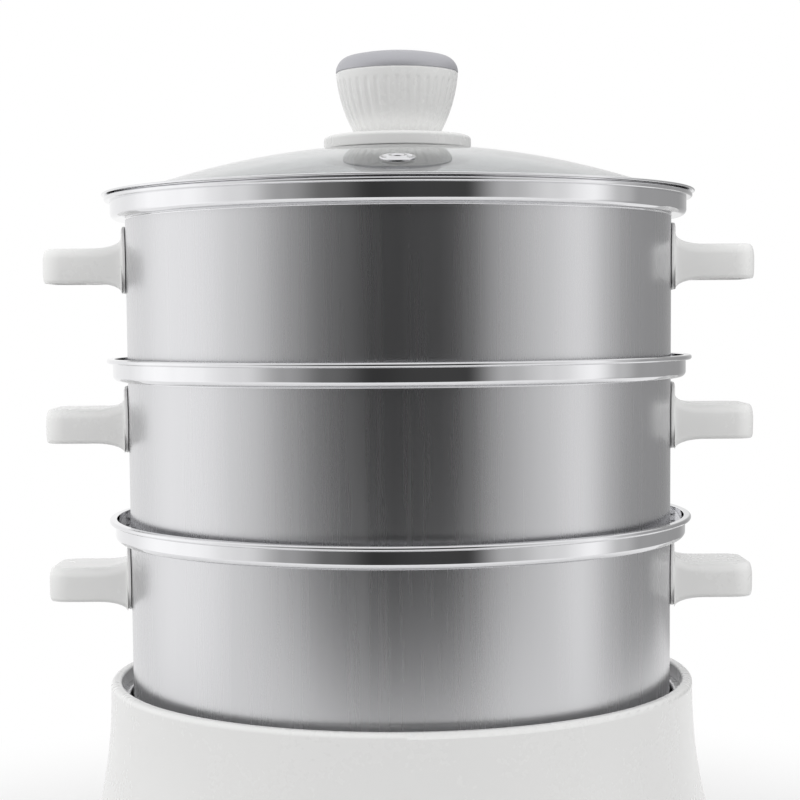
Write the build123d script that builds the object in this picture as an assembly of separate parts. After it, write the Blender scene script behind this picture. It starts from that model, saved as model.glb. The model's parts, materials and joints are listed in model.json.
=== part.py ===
from build123d import *

import os
from math import asin, atan, atan2, cos, degrees, pi, radians, sin, sqrt, tan

# A three-level electric food steamer of the 28 cm class. Millimetres, +Z up.
# The origin is the centre of the circle that the feet stand on; the control knob faces -Y,
# the mains inlet faces +Y and the ear handles stand out along X.

# ---------------------------------------------------------------- driving dimensions
# Clearances shared by every fit.
fit_gap = 0.05          # radial gap of a fixed fit inside one body
running_gap = 0.08      # radial gap of a shaft that turns or slides
loose_gap = 0.4         # gap round a sunk screw head
screw_tip_gap = 1.0     # pilot hole beyond a screw's tip
over_cut = 1.0          # how far a cutter runs past the face it cuts

# The stack, from the table up.
foot_height = 6.0       # table to the housing's lower edge
base_height = 128.0     # table to the housing's rim
pot_sink = 25.0         # how far the pot stands down inside the base
pot_height = 108.0      # underside of the pot to its lip
tier_pitch = 80.5       # lip of one vessel to the lip of the next

# Pressed steel vessels.
sheet = 0.8             # thickness of the steel
wall_radius = 138.0     # outside of the straight wall
band_step = 7.5         # stepped seat band beyond the wall
lip_reach = 2.9         # rolled lip beyond the seat band
lip_height = 2.4
lip_curl = 0.45         # bend of the lip's outer corners, as a share of its height
seat_depth = 10.4       # lip top to the ledge that carries the next vessel
band_corner = 3.0       # outside bend at the foot of the band
ledge_bend = 0.5        # outside bend where the wall meets the ledge
pot_corner = 8.0        # outside bend round the pot's bottom
bead_reach = 2.4        # stacking bead round a tier's foot, beyond the wall
bead_height = 4.0
bead_bend = 1.0
spigot_gap = 0.8        # tier's spigot to the inside of the wall below
spigot_depth = 3.0
spigot_corner = 3.0
steam_hole_radius = 3.5
steam_margin = 16.4         # outermost ring of steam holes to the spigot's side
steam_ring_count = 5
steam_holes_per_ring = 6    # holes added with each ring

# Ear handles.
ear_length = 41.5       # wall to the tip of an ear
ear_width = 46.0
ear_thickness = 17.5
ear_tip_corner = 11.0
ear_edge = 2.5
ear_drop = 34.0         # lip top to the middle of the ear
ear_flare = 12.0        # length of the flares that spread an ear into its plate
ear_flare_bend = 20.0
plate_width = 52.0
plate_height = 33.0
plate_proud = 3.5       # plate's face beyond the steel wall
plate_rise = 1.5        # middle of the plate above the middle of the ear
plate_edge = 1.2
pocket_wall = 3.0       # moulding round the hollow under an ear
pocket_depth = 9.0
bracket_width = 18.0
bracket_sheet = 1.5
bracket_flange_width = 30.0
bracket_flange_height = 22.0
bracket_reach = 22.0    # wall to the end of the bracket's tab
handle_screw_radius = 2.5
handle_screw_head_radius = 4.5
handle_screw_head = 3.0
handle_screw_bite = 4.0     # thread above the tab
handle_boss_radius = 7.0

# Lid.
glass_thickness = 4.0
glass_edge_gap = 0.9        # edge of the glass to the outside of the rim's deep wall
glass_sphere = 392.0        # radius of the dome's outer face
glass_apex = 25.5           # top of the dome above the top tier's lip
rim_overhang = 1.2          # rim's outside beyond the tier's lip
rim_skirt = 1.0             # rim's edge below the tier's lip top
rim_sheet = 0.8             # steel of the skirt and of the fold under the glass
rim_edge_rise = 0.6         # rim's outer edge above the tier's lip top
rim_top = 1.5               # rim's crown above the tier's lip top
rim_edge_round = 0.6
rim_crown_round = 1.2
rim_fold_round = 0.8
rim_foot_round = 0.5
rim_fold = 3.0              # how far the rim's folds reach over the glass
rim_throat_width = 1.2      # slope inside the fold under the glass
rim_depth_in_seat = 7.4
seat_clearance = 0.5        # rim to the inside of the seat band
flange_radius = 37.4        # white disc under the knob
flange_top = 30.5           # above the top tier's lip
flange_edge = 2.0
knob_top_radius = 31.0
knob_foot_radius = 20.8
knob_height = 32.0          # flange to the knob's joint with its cap
knob_bulge = 72.0           # radius of the curve of the knob's side
knob_wall = 3.0
knob_roof = 4.0
knob_boss_radius = 8.0
flute_count = 36
flute_radius = 2.4
flute_depth = 0.6
flute_top_margin = 5.0      # plain collar above the flutes
cap_height = 10.7
cap_shoulder = 7.4          # bend of the cap's edge
cap_crown = 3.3             # rise of the cap's top
cap_foot_round = 0.6
cap_spigot_depth = 2.5
cap_spigot_gap = 0.15
lid_screw_radius = 2.5
lid_screw_head_radius = 6.0
lid_screw_head = 3.0
lid_screw_bite = 14.0       # thread inside the knob
washer_radius = 12.0
washer_thickness = 1.2
retainer_radius = 22.5
retainer_thickness = 5.0
retainer_edge = 1.5
lid_bore_radius = 5.0       # hole in the glass for the knob's boss
vent_reach = 104.0          # dome's axis to the steam vent, towards the front
vent_hole_radius = 5.0
eyelet_radius = 8.3
eyelet_thickness = 1.0
eyelet_bore_radius = 2.5
eyelet_edge = 0.4

# Base housing.
base_flare = 23.0           # widest place, near the table, beyond the rim
base_flare_share = 0.98     # side's turn as a share of that of two arcs with no straight between
base_skirt_height = 6.45    # straight part of the side above the lower edge
base_skirt_bend = 24.0      # convex curve above the straight part
base_wall = 3.0
base_rim_gap = 3.6          # liner's wall to the inside of the rim
base_rim_width = 5.5
base_rim_depth = 8.0        # rim to the ledge that carries the well liner
base_rim_outer_round = 2.6
base_rim_collar = 2.0       # straight part of the side under the rim's round edge
base_rim_inner_round = 1.2
base_ledge_width = 2.6
base_ledge_thickness = 2.5

# Well liner and heater.
liner_sheet = 0.8
liner_gap = 1.4             # pot's wall to the liner
liner_corner = 6.0
liner_bend = 0.6
plate_inset = 20.0          # pot's wall to the plate's edge
plate_thickness = 7.0
plate_round = 2.0
plate_stand = 9.0           # plate's underside to the liner's floor
rib_height = 6.0            # cast rib that holds the element
rib_width = 13.0
element_inset = 36.0        # plate's edge to the middle of the element's tube
element_tube_radius = 3.5
element_gap_angle = 36.0    # open part of the ring, at the front
element_drop = 2.0          # plate's underside to the tube's centre line
element_leg = 22.0          # cold end below the tube's centre line
element_leg_radius = 3.8
bush_radius = 6.5
bush_flange_radius = 9.0
bush_flange = 1.5
bush_collar = 3.0           # bush below the liner's floor
spacer_count = 3
spacer_start = 90.0         # angle of the first spacer, from +X
spacer_inset = 14.0         # plate's edge to the spacers
spacer_radius = 5.0
plate_screw_radius = 2.0
plate_screw_head_radius = 4.0
plate_screw_head = 2.4
plate_screw_bite = 4.5      # thread inside the plate

# Spring-loaded thermostat sensor in the middle of the plate.
sensor_contact_gap = 0.3    # cap to the pot's underside
sensor_cap_radius = 12.0
sensor_cap_height = 8.0
sensor_cap_round = 1.2
sensor_stem_radius = 4.0
sensor_well_gap = 2.0       # plate's hole to the cap
holder_inner_gap = 1.0
holder_wall = 3.0
holder_floor_drop = 14.0    # liner's underside to the holder's floor
holder_flange_radius = 27.0
holder_flange = 2.5
holder_screw_count = 3
holder_screw_start = 30.0   # angle of the first screw, from +X
holder_screw_tip = 1.0      # thread above the liner's floor
holder_screw_circle_radius = 22.0
holder_screw_radius = 1.4
holder_screw_head_radius = 2.8
holder_screw_head = 1.6
clip_radius = 6.5
clip_thickness = 1.0
stem_tail = 2.0             # stem below its clip
spring_radius = 8.0
spring_wire_radius = 0.5
spring_turns = 5

# Thermal cut-out clamped under the liner.
cutout_place_radius = 52.0
cutout_radius = 8.0
cutout_height = 9.0
cutout_flange_length = 30.0
cutout_flange_width = 12.0
cutout_flange = 1.2
cutout_blade_pitch = 10.0

# Push-on blades of the cut-out and the switch.
blade_width = 4.8
blade_thickness = 0.8
blade_length = 6.0

# Front control.
control_height = 58.0       # middle of the dial above the table
control_pad_radius = 32.0
control_pad_proud = 2.5
control_pad_wall = 3.0
control_pad_round = 1.2
control_pad_root = 12.0     # how far the pad's side reaches into the bell
dial_radius = 30.0
dial_thickness = 1.0
control_knob_radius = 20.0
control_knob_height = 13.5
control_knob_gap = 0.5      # knob to the dial plate
control_knob_skirt_radius = 21.0
control_knob_skirt = 3.0
control_skirt_round = 1.0
control_flute_count = 24
control_flute_radius = 1.6
control_flute_depth = 0.5
control_cap_radius = 15.0
control_cap_thickness = 1.2
control_cap_sink = 0.8
pointer_length = 9.0
pointer_width = 1.6
pointer_height = 0.5
pointer_margin = 2.0        # pointer's end to the cap's edge
disc_round = 0.3            # edges of the cap and of the dial plate
knob_bore_depth = 9.5
shaft_radius = 3.0
shaft_flat = 0.9            # depth of the shaft's D flat
bushing_radius = 4.5
bushing_nut_radius = 7.0
bushing_nut = 2.0
bushing_reach = 2.6         # switch bushing beyond the dial plate
bushing_clear = 0.6         # knob's hollow beyond the bushing
nut_clear = 1.0             # knob's hollow round the nut
switch_width = 32.0
switch_depth = 20.0
switch_corner = 3.0
switch_floor = 4.0          # switch's back to the end of its shaft
switch_collar_gap = 0.2
switch_blade_pitch = 9.0

# Indicator lamp above the dial.
lens_rise = 36.5            # dial's centre to the lens, up the bell's side
lens_radius = 2.6
lens_flange_radius = 3.5
lens_flange = 1.2
lens_round = 0.5
lens_tail = 1.0             # lens beyond the wall's inner face
lamp_radius = 2.5
lamp_length = 5.0

# Mains inlet at the back.
inlet_height = 40.0
inlet_pad_width = 44.0
inlet_pad_height = 34.0
inlet_pad_proud = 9.18      # pad's face beyond the bell's side at the inlet's height
inlet_pad_wall = 3.0
inlet_pad_round = 3.0
inlet_pad_root = 26.0
inlet_flange_width = 31.0
inlet_flange_height = 24.0
inlet_flange = 2.5
inlet_flange_corner = 2.5
inlet_flange_round = 0.6
inlet_body_width = 27.0
inlet_body_height = 19.8
inlet_body_depth = 20.0
inlet_socket_width = 23.4
inlet_socket_height = 16.2
inlet_socket_depth = 16.5
inlet_socket_corner = 3.0
pin_spacing = 7.0           # live and neutral each side of the middle
pin_rise = 2.0
earth_drop = 2.0
pin_width = 2.0
pin_height = 4.0
pin_length = 14.0           # inside the socket
pin_tail = 6.0              # behind the body

# Bottom cover, feet and what stands on the cover.
cover_thickness = 2.5
cover_gap = 0.6             # cover to the housing's wall
cover_recess = 2.0          # cover above the housing's lower edge
cover_screw_count = 6
cover_screw_inset = 14.3    # housing's outside to the cover screws
cover_screw_radius = 1.75
cover_screw_head_radius = 3.5
cover_screw_head = 1.4
cover_screw_bite = 10.0
cover_boss_radius = 4.5
cover_boss_top = 46.0
vent_slot_count = 24
vent_slot_inner = 60.0
vent_slot_outer = 95.0
vent_slot_width = 4.0
foot_count = 4
foot_inset = 40.3           # housing's outside to the middle of a foot
foot_radius = 11.0
foot_round = 1.5
foot_plug_radius = 4.0
foot_plug_head_radius = 5.5
foot_plug_head = 2.0
terminal_width = 40.0
terminal_depth = 16.0
terminal_height = 14.0
terminal_place = 88.0       # centre line to the block, towards the back
terminal_screw_radius = 2.5
terminal_screw_count = 3
terminal_screw_pitch = 12.0
terminal_screw_sink = 0.5   # screw's top below the block's
terminal_well = 6.0         # depth of the screw wells
terminal_corner = 1.5

# Insulated leads inside the base.
lead_radius = 1.2
lead_gap = 0.25             # lead's end to what it meets
lead_bend = 4.0
lead_straight = 14.0        # straight run off a switch blade
lead_fan = 30.0             # run over which a lead leaves its column
lead_drop = 15.0            # cut-out's blade to the lead's level run

# ---------------------------------------------------------------- derived places
rim_z = base_height
plate_top_z = rim_z - pot_sink
pot_lip_z = plate_top_z + pot_height
middle_lip_z = pot_lip_z + tier_pitch
top_lip_z = middle_lip_z + tier_pitch
wall_inner = wall_radius - sheet
band_radius = wall_radius + band_step
band_inner = band_radius - sheet
lip_radius = band_radius + lip_reach
bead_radius = wall_radius + bead_reach
spigot_radius = wall_inner - spigot_gap
steam_ring_pitch = (spigot_radius - steam_margin) / steam_ring_count
ear_reach = wall_radius + ear_length

seat_side = band_inner - seat_clearance
glass_radius = seat_side - glass_edge_gap
rim_radius = lip_radius + rim_overhang
glass_centre_z = top_lip_z + glass_apex - glass_sphere

plate_radius = wall_radius - plate_inset
spacer_circle_radius = plate_radius - spacer_inset
element_ring_radius = plate_radius - element_inset
plate_under_z = plate_top_z - plate_thickness
liner_floor_z = plate_under_z - plate_stand
liner_under_z = liner_floor_z - liner_sheet
liner_radius = wall_radius + liner_gap + liner_sheet
liner_ledge_z = rim_z - base_rim_depth

base_rim_inner = liner_radius + base_rim_gap
base_rim_radius = base_rim_inner + base_rim_width
base_skirt_radius = base_rim_radius + base_flare
cover_screw_circle_radius = base_skirt_radius - cover_screw_inset
foot_circle_radius = base_skirt_radius - foot_inset
cover_top_z = foot_height + cover_recess + cover_thickness
cover_under_z = foot_height + cover_recess

# The bell's side leaves the rim in a concave arc and reaches the skirt in a convex one.
flare_start_z = rim_z - base_rim_outer_round - base_rim_collar
flare_drop = flare_start_z - foot_height - base_skirt_height
flare_half_slope = base_flare_share * base_flare / flare_drop
flare_fall = base_flare / tan(2 * atan(flare_half_slope))
flare_bend = (flare_drop - flare_fall) / flare_half_slope - base_skirt_bend
flare_corner_z = flare_start_z - flare_bend * flare_half_slope
skirt_corner_z = flare_corner_z - flare_fall


def bell_radius(z):
    """Outside radius of the housing's concave side at height z."""
    return base_rim_radius + flare_bend - sqrt(flare_bend**2 - (flare_start_z - z) ** 2)


def glass_top(radius):
    """Height of the glass's outer face at a distance from the axis."""
    return glass_centre_z + sqrt(glass_sphere**2 - radius**2)


def glass_under(radius):
    """Height of the glass's inner face at a distance from the axis."""
    return glass_centre_z + sqrt((glass_sphere - glass_thickness) ** 2 - radius**2)


inlet_pad_reach = bell_radius(inlet_height) + inlet_pad_proud
control_lean = degrees(asin((flare_start_z - control_height) / flare_bend))
control_reach = bell_radius(control_height) + control_pad_proud
control_plane = Plane(
    origin=(0, -control_reach, control_height),
    x_dir=(1, 0, 0),
    z_dir=(0, -cos(radians(control_lean)), sin(radians(control_lean))),
)


# ---------------------------------------------------------------- helpers
def pressed_section(corners, bends, thickness):
    """Face of a bent sheet: its outer side follows the corners, its body lies to their left.

    bends holds the outer side's radius at each inner corner of the path.
    """
    headings = [
        atan2(b[1] - a[1], b[0] - a[0]) for a, b in zip(corners, corners[1:])
    ]
    first, last = headings[0], headings[-1]
    inner = [(corners[0][0] - thickness * sin(first), corners[0][1] + thickness * cos(first))]
    inner_bends = []
    for corner, bend, before, after in zip(corners[1:], bends, headings, headings[1:]):
        turn = (after - before + pi) % (2 * pi) - pi
        middle = before + turn / 2
        shift = thickness / cos(turn / 2)
        inner.append((corner[0] - shift * sin(middle), corner[1] + shift * cos(middle)))
        inner_bends.append(bend - thickness if turn > 0 else bend + thickness)
    inner.append((corners[-1][0] - thickness * sin(last), corners[-1][1] + thickness * cos(last)))
    outer_side = FilletPolyline(*corners, radius=bends)
    inner_side = FilletPolyline(*inner, radius=inner_bends)
    start = Line(corners[0], inner[0])
    end = Line(corners[-1], inner[-1])
    return make_face([outer_side, inner_side, start, end])


def rounded_section(corners, bends):
    """Face inside a closed polygon whose corners are rounded by bends (0 keeps one sharp)."""
    side = FilletPolyline(*corners, radius=bends, close=True)
    return make_face(side)


def turned(*sections):
    """Solid of revolution about Z of sections drawn as (radius, height)."""
    profile = Sketch() + [Plane.XZ * section for section in sections]
    return revolve(profile, Axis.Z)


def rod(radius, low, high, x=0.0, y=0.0):
    """Upright cylinder between two heights."""
    return Pos(x, y, (low + high) / 2) * Cylinder(radius, high - low)


def block(low, high):
    """Box between two opposite corners."""
    size = [b - a for a, b in zip(low, high)]
    middle = [(a + b) / 2 for a, b in zip(low, high)]
    return Pos(*middle) * Box(*size)


def around(shape, count, start=0.0):
    """Copies of a shape at equal angles about Z."""
    return [Rot(0, 0, start + 360.0 * i / count) * shape for i in range(count)]


def mirrored_pair(shape):
    """The shape and its mirror image across the YZ plane."""
    return [shape, mirror(shape, about=Plane.YZ)]


def save(name, *shapes):
    """Write one node's solids to its STEP file."""
    solids = [solid for shape in shapes for solid in shape.solids()]
    shape = solids[0] if len(solids) == 1 else Compound(children=solids)
    export_step(shape, f"parts/{name}.step")


# ---------------------------------------------------------------- vessels
def seat_corners(lip_z):
    """Outer corners of a vessel from the top of its wall to the foot of its lip, with bends."""
    ledge_under_z = lip_z - seat_depth - sheet
    corners = [
        (wall_radius, ledge_under_z),
        (band_radius, ledge_under_z),
        (band_radius, lip_z - lip_height / 2),
    ]
    return corners, [ledge_bend, band_corner]


def lip_section(lip_z):
    """Rolled lip on top of the seat band."""
    low, high = lip_z - lip_height, lip_z
    curl = lip_height * lip_curl
    corners = [(band_inner, low), (lip_radius, low), (lip_radius, high), (band_inner, high)]
    return rounded_section(corners, [0, curl, curl, sheet / 2])


def pot_shell():
    """Bottom pot: solid floor, straight wall, seat band and lip."""
    seat, seat_bends = seat_corners(pot_lip_z)
    path = [(0, plate_top_z), (wall_radius, plate_top_z), *seat]
    body = pressed_section(path, [pot_corner, *seat_bends], sheet)
    return turned(body, lip_section(pot_lip_z))


def tier_shell(lip_z):
    """Steaming tier: perforated floor, spigot, stacking bead, wall, seat band and lip."""
    shoulder_z = lip_z - tier_pitch - seat_depth
    floor_z = shoulder_z - spigot_depth
    bead_top_z = shoulder_z + bead_height
    seat, seat_bends = seat_corners(lip_z)
    path = [
        (0, floor_z),
        (spigot_radius, floor_z),
        (spigot_radius, shoulder_z),
        (bead_radius, shoulder_z),
        (bead_radius, bead_top_z),
        (wall_radius, bead_top_z + bead_radius - wall_radius),
        *seat,
    ]
    bends = [spigot_corner - sheet, ledge_bend, bead_bend, bead_bend, bead_bend, *seat_bends]
    shell = turned(pressed_section(path, bends, sheet), lip_section(lip_z))
    return shell - steam_holes(floor_z)


def steam_holes(floor_z):
    """Punches for the rings of steam holes in a tier's floor."""
    hole = rod(steam_hole_radius, floor_z - sheet, floor_z + 2 * sheet)
    holes = [hole]
    for ring in range(1, steam_ring_count + 1):
        placed = Pos(ring * steam_ring_pitch, 0, 0) * hole
        holes += around(placed, ring * steam_holes_per_ring)
    return holes


# ---------------------------------------------------------------- ear handles
def ear_middle_z(lip_z):
    """Height of the middle of a vessel's ears."""
    return lip_z - ear_drop


def bracket_screw_x():
    """Distance of the handle screws from the centre line."""
    return wall_radius + bracket_reach - handle_boss_radius


def handle_bracket(z):
    """Steel tab welded to the wall on the +X side, which carries the handle."""
    ring = rod(wall_radius + bracket_sheet, z - bracket_flange_height / 2, z + bracket_flange_height / 2)
    ring -= rod(wall_radius, z - bracket_flange_height, z + bracket_flange_height)
    half = bracket_flange_width / 2
    flange = ring & block((0, -half, z - plate_height), (wall_radius * 2, half, z + plate_height))
    tab_low = (wall_radius + bracket_sheet / 2, -bracket_width / 2, z - bracket_sheet / 2)
    tab_high = (wall_radius + bracket_reach, bracket_width / 2, z + bracket_sheet / 2)
    bracket = flange + block(tab_low, tab_high)
    hole_radius = handle_screw_radius + fit_gap
    return bracket - rod(hole_radius, z - bracket_sheet, z + bracket_sheet, x=bracket_screw_x())


def handle_screw(z):
    """Screw from under the ear, through the tab, into the moulding above it."""
    seat_z = z - bracket_sheet / 2 - pocket_wall
    x = bracket_screw_x()
    head = rod(handle_screw_head_radius, seat_z - handle_screw_head, seat_z, x=x)
    return head + rod(handle_screw_radius, seat_z, z + bracket_sheet / 2 + handle_screw_bite, x=x)


def ear_handle(z):
    """White moulded ear on the +X side, with its plate against the wall."""
    root_x = wall_radius - plate_proud
    face_x = wall_radius + plate_proud
    ear_low, ear_high = z - ear_thickness / 2, z + ear_thickness / 2
    plan = Pos((root_x + ear_reach) / 2, 0) * Rectangle(ear_reach - root_x, ear_width)
    tip_corners = plan.vertices().sort_by(Axis.X)[-2:]
    plan = fillet(tip_corners, ear_tip_corner)
    ear = extrude(Pos(0, 0, ear_low) * plan, ear_thickness)
    rims = [e for e in ear.edges() if abs(e.center().Z - z) > ear_thickness / 2 - ear_edge]
    rims = [e for e in rims if e.center().X > face_x]
    ear = fillet(rims, ear_edge)

    plate = plate_prism(z, root_x, face_x)
    outer_edge = [e for e in plate.edges() if e.center().X > face_x - plate_edge]
    plate = fillet(outer_edge, plate_edge)

    handle = ear + plate + ear_flares(z, face_x)
    handle -= rod(wall_radius + fit_gap, z - plate_height, z + plate_height)
    handle -= ear_pocket(z, face_x)
    handle += handle_boss(z)
    handle -= bracket_slot(z)
    return handle


def plate_prism(z, low_x, high_x, inset=0.0):
    """Prism of the plate's oval outline, drawn in by inset, between two places along X."""
    face = Plane(origin=(low_x, 0, z + plate_rise), x_dir=(0, 1, 0), z_dir=(1, 0, 0))
    oval = SlotOverall(plate_width - 2 * inset, plate_height - 2 * inset)
    return extrude(face * oval, high_x - low_x)


def ear_flares(z, face_x):
    """Long concave curves above and below the ear, which spread it into its plate."""
    root_x, end_x = face_x - plate_edge, face_x + ear_flare
    half = ear_thickness / 2
    spread = half + ear_flare_bend - sqrt(ear_flare_bend**2 - ear_flare**2)
    outline = make_face(
        [
            Line((root_x, z - spread), (root_x, z + spread)),
            Line((root_x, z + spread), (face_x, z + spread)),
            RadiusArc((face_x, z + spread), (end_x, z + half), -ear_flare_bend),
            Line((end_x, z + half), (end_x, z - half)),
            RadiusArc((end_x, z - half), (face_x, z - spread), -ear_flare_bend),
            Line((face_x, z - spread), (root_x, z - spread)),
        ]
    )
    width = ear_width - 4 * ear_edge
    flares = extrude(Plane.XZ * outline, width / 2, both=True)
    return flares & plate_prism(z, root_x, end_x, plate_edge)


def ear_pocket(z, face_x):
    """Hollow under the ear."""
    low_x, high_x = face_x + ear_flare, ear_reach - pocket_wall
    width = ear_width - 2 * pocket_wall
    plan = Pos((low_x + high_x) / 2, 0) * Rectangle(high_x - low_x, width)
    plan = fillet(plan.vertices().sort_by(Axis.X)[-2:], ear_tip_corner - pocket_wall)
    return extrude(Pos(0, 0, z - ear_thickness / 2) * plan, pocket_depth)


def handle_boss(z):
    """Boss in the ear's hollow that the screw's head pulls against."""
    seat_z = z - bracket_sheet / 2 - pocket_wall
    roof_z = z - ear_thickness / 2 + pocket_depth
    x = bracket_screw_x()
    return rod(handle_boss_radius, seat_z, roof_z + fit_gap, x=x)


def bracket_slot(z):
    """Space for the bracket and its screw inside the moulding, with the way in for the screw."""
    half = bracket_width / 2 + fit_gap
    thick = bracket_sheet / 2 + fit_gap
    tab = block(
        (wall_radius - plate_proud, -half, z - thick),
        (wall_radius + bracket_reach + fit_gap, half, z + thick),
    )
    flange_half = bracket_flange_width / 2 + fit_gap
    flange_z = bracket_flange_height / 2 + fit_gap
    slab = rod(wall_radius + bracket_sheet + fit_gap, z - flange_z, z + flange_z)
    flange = slab & block((0, -flange_half, z - flange_z), (wall_radius * 2, flange_half, z + flange_z))
    x = bracket_screw_x()
    screw_top = z + bracket_sheet / 2 + handle_screw_bite
    screw = rod(handle_screw_radius + fit_gap, z - ear_thickness, screw_top + fit_gap, x=x)
    seat_z = z - bracket_sheet / 2 - pocket_wall
    way_in = rod(handle_screw_head_radius + loose_gap, z - ear_thickness, seat_z, x=x)
    return [tab, flange, screw, way_in]


def save_vessel(prefix, shell, lip_z):
    """Write a vessel's shell with the two ears, brackets and screws that belong to it."""
    z = ear_middle_z(lip_z)
    right = ear_handle(z)
    save(f"{prefix}_shell", shell)
    save(f"{prefix}_handle_right", right)
    save(f"{prefix}_handle_left", mirror(right, about=Plane.YZ))
    save(f"{prefix}_handle_brackets", *mirrored_pair(handle_bracket(z)))
    save(f"{prefix}_handle_screws", *mirrored_pair(handle_screw(z)))


# ---------------------------------------------------------------- lid
def glass_section(grow=0.0):
    """Half section of the domed glass, thickened all round by grow."""
    outer, inner = glass_sphere + grow, glass_sphere - glass_thickness - grow
    edge = glass_radius + grow
    outer_z = glass_centre_z + sqrt(outer**2 - edge**2)
    inner_z = glass_centre_z + sqrt(inner**2 - edge**2)
    top, under = (0, glass_centre_z + outer), (0, glass_centre_z + inner)
    return make_face(
        [
            Line(under, top),
            RadiusArc(top, (edge, outer_z), outer),
            Line((edge, outer_z), (edge, inner_z)),
            RadiusArc((edge, inner_z), under, -inner),
        ]
    )


def lid_glass():
    """Tempered glass dome with its knob hole and vent hole."""
    glass = turned(glass_section())
    glass -= rod(lid_bore_radius, top_lip_z, top_lip_z + 2 * glass_apex)
    return glass - vent_axis() * Cylinder(vent_hole_radius, 4 * glass_thickness)


def vent_axis():
    """Frame on the glass's outer face at the steam vent, its Z square to the glass."""
    lean = degrees(asin(vent_reach / glass_sphere))
    return Location((0, -vent_reach, glass_top(vent_reach)), (lean, 0, 0))


def lid_rim():
    """Folded steel rim: skirt over the tier's lip, web on it, folds over the glass's edge."""
    fold_end = glass_radius - rim_fold
    skirt_inner = rim_radius - rim_sheet
    corners = [
        (seat_side, top_lip_z - rim_depth_in_seat),
        (seat_side, top_lip_z),
        (skirt_inner, top_lip_z),
        (skirt_inner, top_lip_z - rim_skirt),
        (rim_radius, top_lip_z - rim_skirt),
        (rim_radius, top_lip_z + rim_edge_rise),
        (seat_side, top_lip_z + rim_top),
        (fold_end, top_lip_z + rim_top),
        (fold_end, top_lip_z - rim_depth_in_seat),
    ]
    outer_bends = [rim_edge_round, rim_crown_round, rim_fold_round, rim_foot_round]
    bends = [rim_foot_round, 0, 0, 0, 0, *outer_bends]
    body = rounded_section(corners, bends)
    inside = glass_section(fit_gap)
    return turned(body) - turned(inside) - rim_throat(fold_end)


def rim_throat(fold_end):
    """Space under the glass inside the rim's lower fold."""
    under = glass_under(fold_end) - rim_sheet
    low = top_lip_z - rim_depth_in_seat - over_cut
    clear = fold_end - over_cut
    corners = [(clear, low), (fold_end + rim_throat_width, low), (fold_end, under), (clear, under)]
    return turned(make_face(Polyline(*corners, close=True)))


def lid_eyelet():
    """Steel eyelet lining the steam vent, with a collar on each face of the glass."""
    low, high = -glass_thickness - eyelet_thickness, eyelet_thickness
    collar = rod(eyelet_radius, low, high)
    collar = fillet(collar.edges().group_by(Axis.Z)[-1], eyelet_edge)
    sleeve = rod(vent_hole_radius - fit_gap, low, high)
    bore = rod(eyelet_bore_radius, low - over_cut, high + over_cut)
    eyelet = vent_axis() * collar - turned(glass_section()) + vent_axis() * sleeve
    return eyelet - vent_axis() * bore


def lid_flange():
    """White disc between the knob and the glass."""
    high = top_lip_z + flange_top
    low = glass_top(flange_radius)
    corners = [(0, low), (flange_radius, low), (flange_radius, high), (0, high)]
    disc = turned(rounded_section(corners, [0, flange_edge * 0.4, flange_edge, 0]))
    disc -= turned(glass_section(fit_gap))
    washer_top = glass_top(0) + washer_thickness
    disc -= rod(washer_radius + fit_gap, low - over_cut, washer_top + fit_gap)
    return disc - rod(lid_screw_radius + fit_gap, low, high + over_cut)


def lid_washer():
    """Silicone washer that seals the glass round the knob screw."""
    low, high = glass_under(0), glass_top(0) + washer_thickness
    dome = Pos(0, 0, glass_centre_z) * Rot(90, 0, 0) * Sphere(glass_sphere)
    washer = rod(washer_radius, low, high) - dome
    plug = rod(lid_bore_radius - fit_gap, low, high)
    return washer + plug - rod(lid_screw_radius + fit_gap, low - over_cut, high + over_cut)


def lid_retainer():
    """Disc under the glass that the knob screw pulls up."""
    high = glass_under(0)
    low = glass_under(retainer_radius) - retainer_thickness
    corners = [(0, low), (retainer_radius, low), (retainer_radius, high), (0, high)]
    disc = turned(rounded_section(corners, [0, retainer_edge, 0, 0]))
    disc -= turned(glass_section(fit_gap))
    disc -= rod(lid_screw_head_radius + loose_gap, low - over_cut, low + lid_screw_head)
    return disc - rod(lid_screw_radius + fit_gap, low, high + over_cut)


def lid_screw():
    """Screw that clamps the retainer, glass, washer, flange and knob together."""
    low = glass_under(retainer_radius) - retainer_thickness
    head = rod(lid_screw_head_radius, low, low + lid_screw_head)
    return head + rod(lid_screw_radius, low + lid_screw_head, top_lip_z + flange_top + lid_screw_bite)


def knob_side():
    """Ends of the knob's curved side in section, foot first."""
    foot_z = top_lip_z + flange_top
    return (knob_foot_radius, foot_z), (knob_top_radius, foot_z + knob_height)


def lid_knob():
    """Fluted white cup of the knob, with the boss that takes the screw."""
    foot, top = knob_side()
    foot_z, top_z = foot[1], top[1]
    outline = make_face(
        [
            Line((0, foot_z), foot),
            RadiusArc(foot, top, -knob_bulge),
            Line(top, (0, top_z)),
            Line((0, top_z), (0, foot_z)),
        ]
    )
    cup = turned(outline)
    inner_radius = knob_foot_radius - knob_wall
    cup -= rod(inner_radius, foot_z + knob_roof, top_z)
    cup -= rod(knob_top_radius - knob_wall, top_z - cap_spigot_depth, top_z + over_cut)
    cup += rod(knob_boss_radius, foot_z, foot_z + lid_screw_bite + knob_wall)
    cup -= rod(lid_screw_radius + fit_gap, foot_z - over_cut, foot_z + lid_screw_bite + fit_gap)
    return cup - around(knob_flute(), flute_count)


def knob_flute():
    """One flute's cutter, a torus slice that follows the knob's side and runs out near the top."""
    foot, top = knob_side()
    reach = flute_radius - flute_depth
    start = (foot[0] + reach, foot[1] - over_cut)
    end = (top[0] + flute_radius + flute_depth, top[1] - flute_top_margin + flute_radius)
    spine = Plane.XZ * RadiusArc(start, end, -knob_bulge)
    section = Plane(origin=spine @ 0, z_dir=spine % 0) * Circle(flute_radius)
    return sweep(section, spine)


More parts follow.
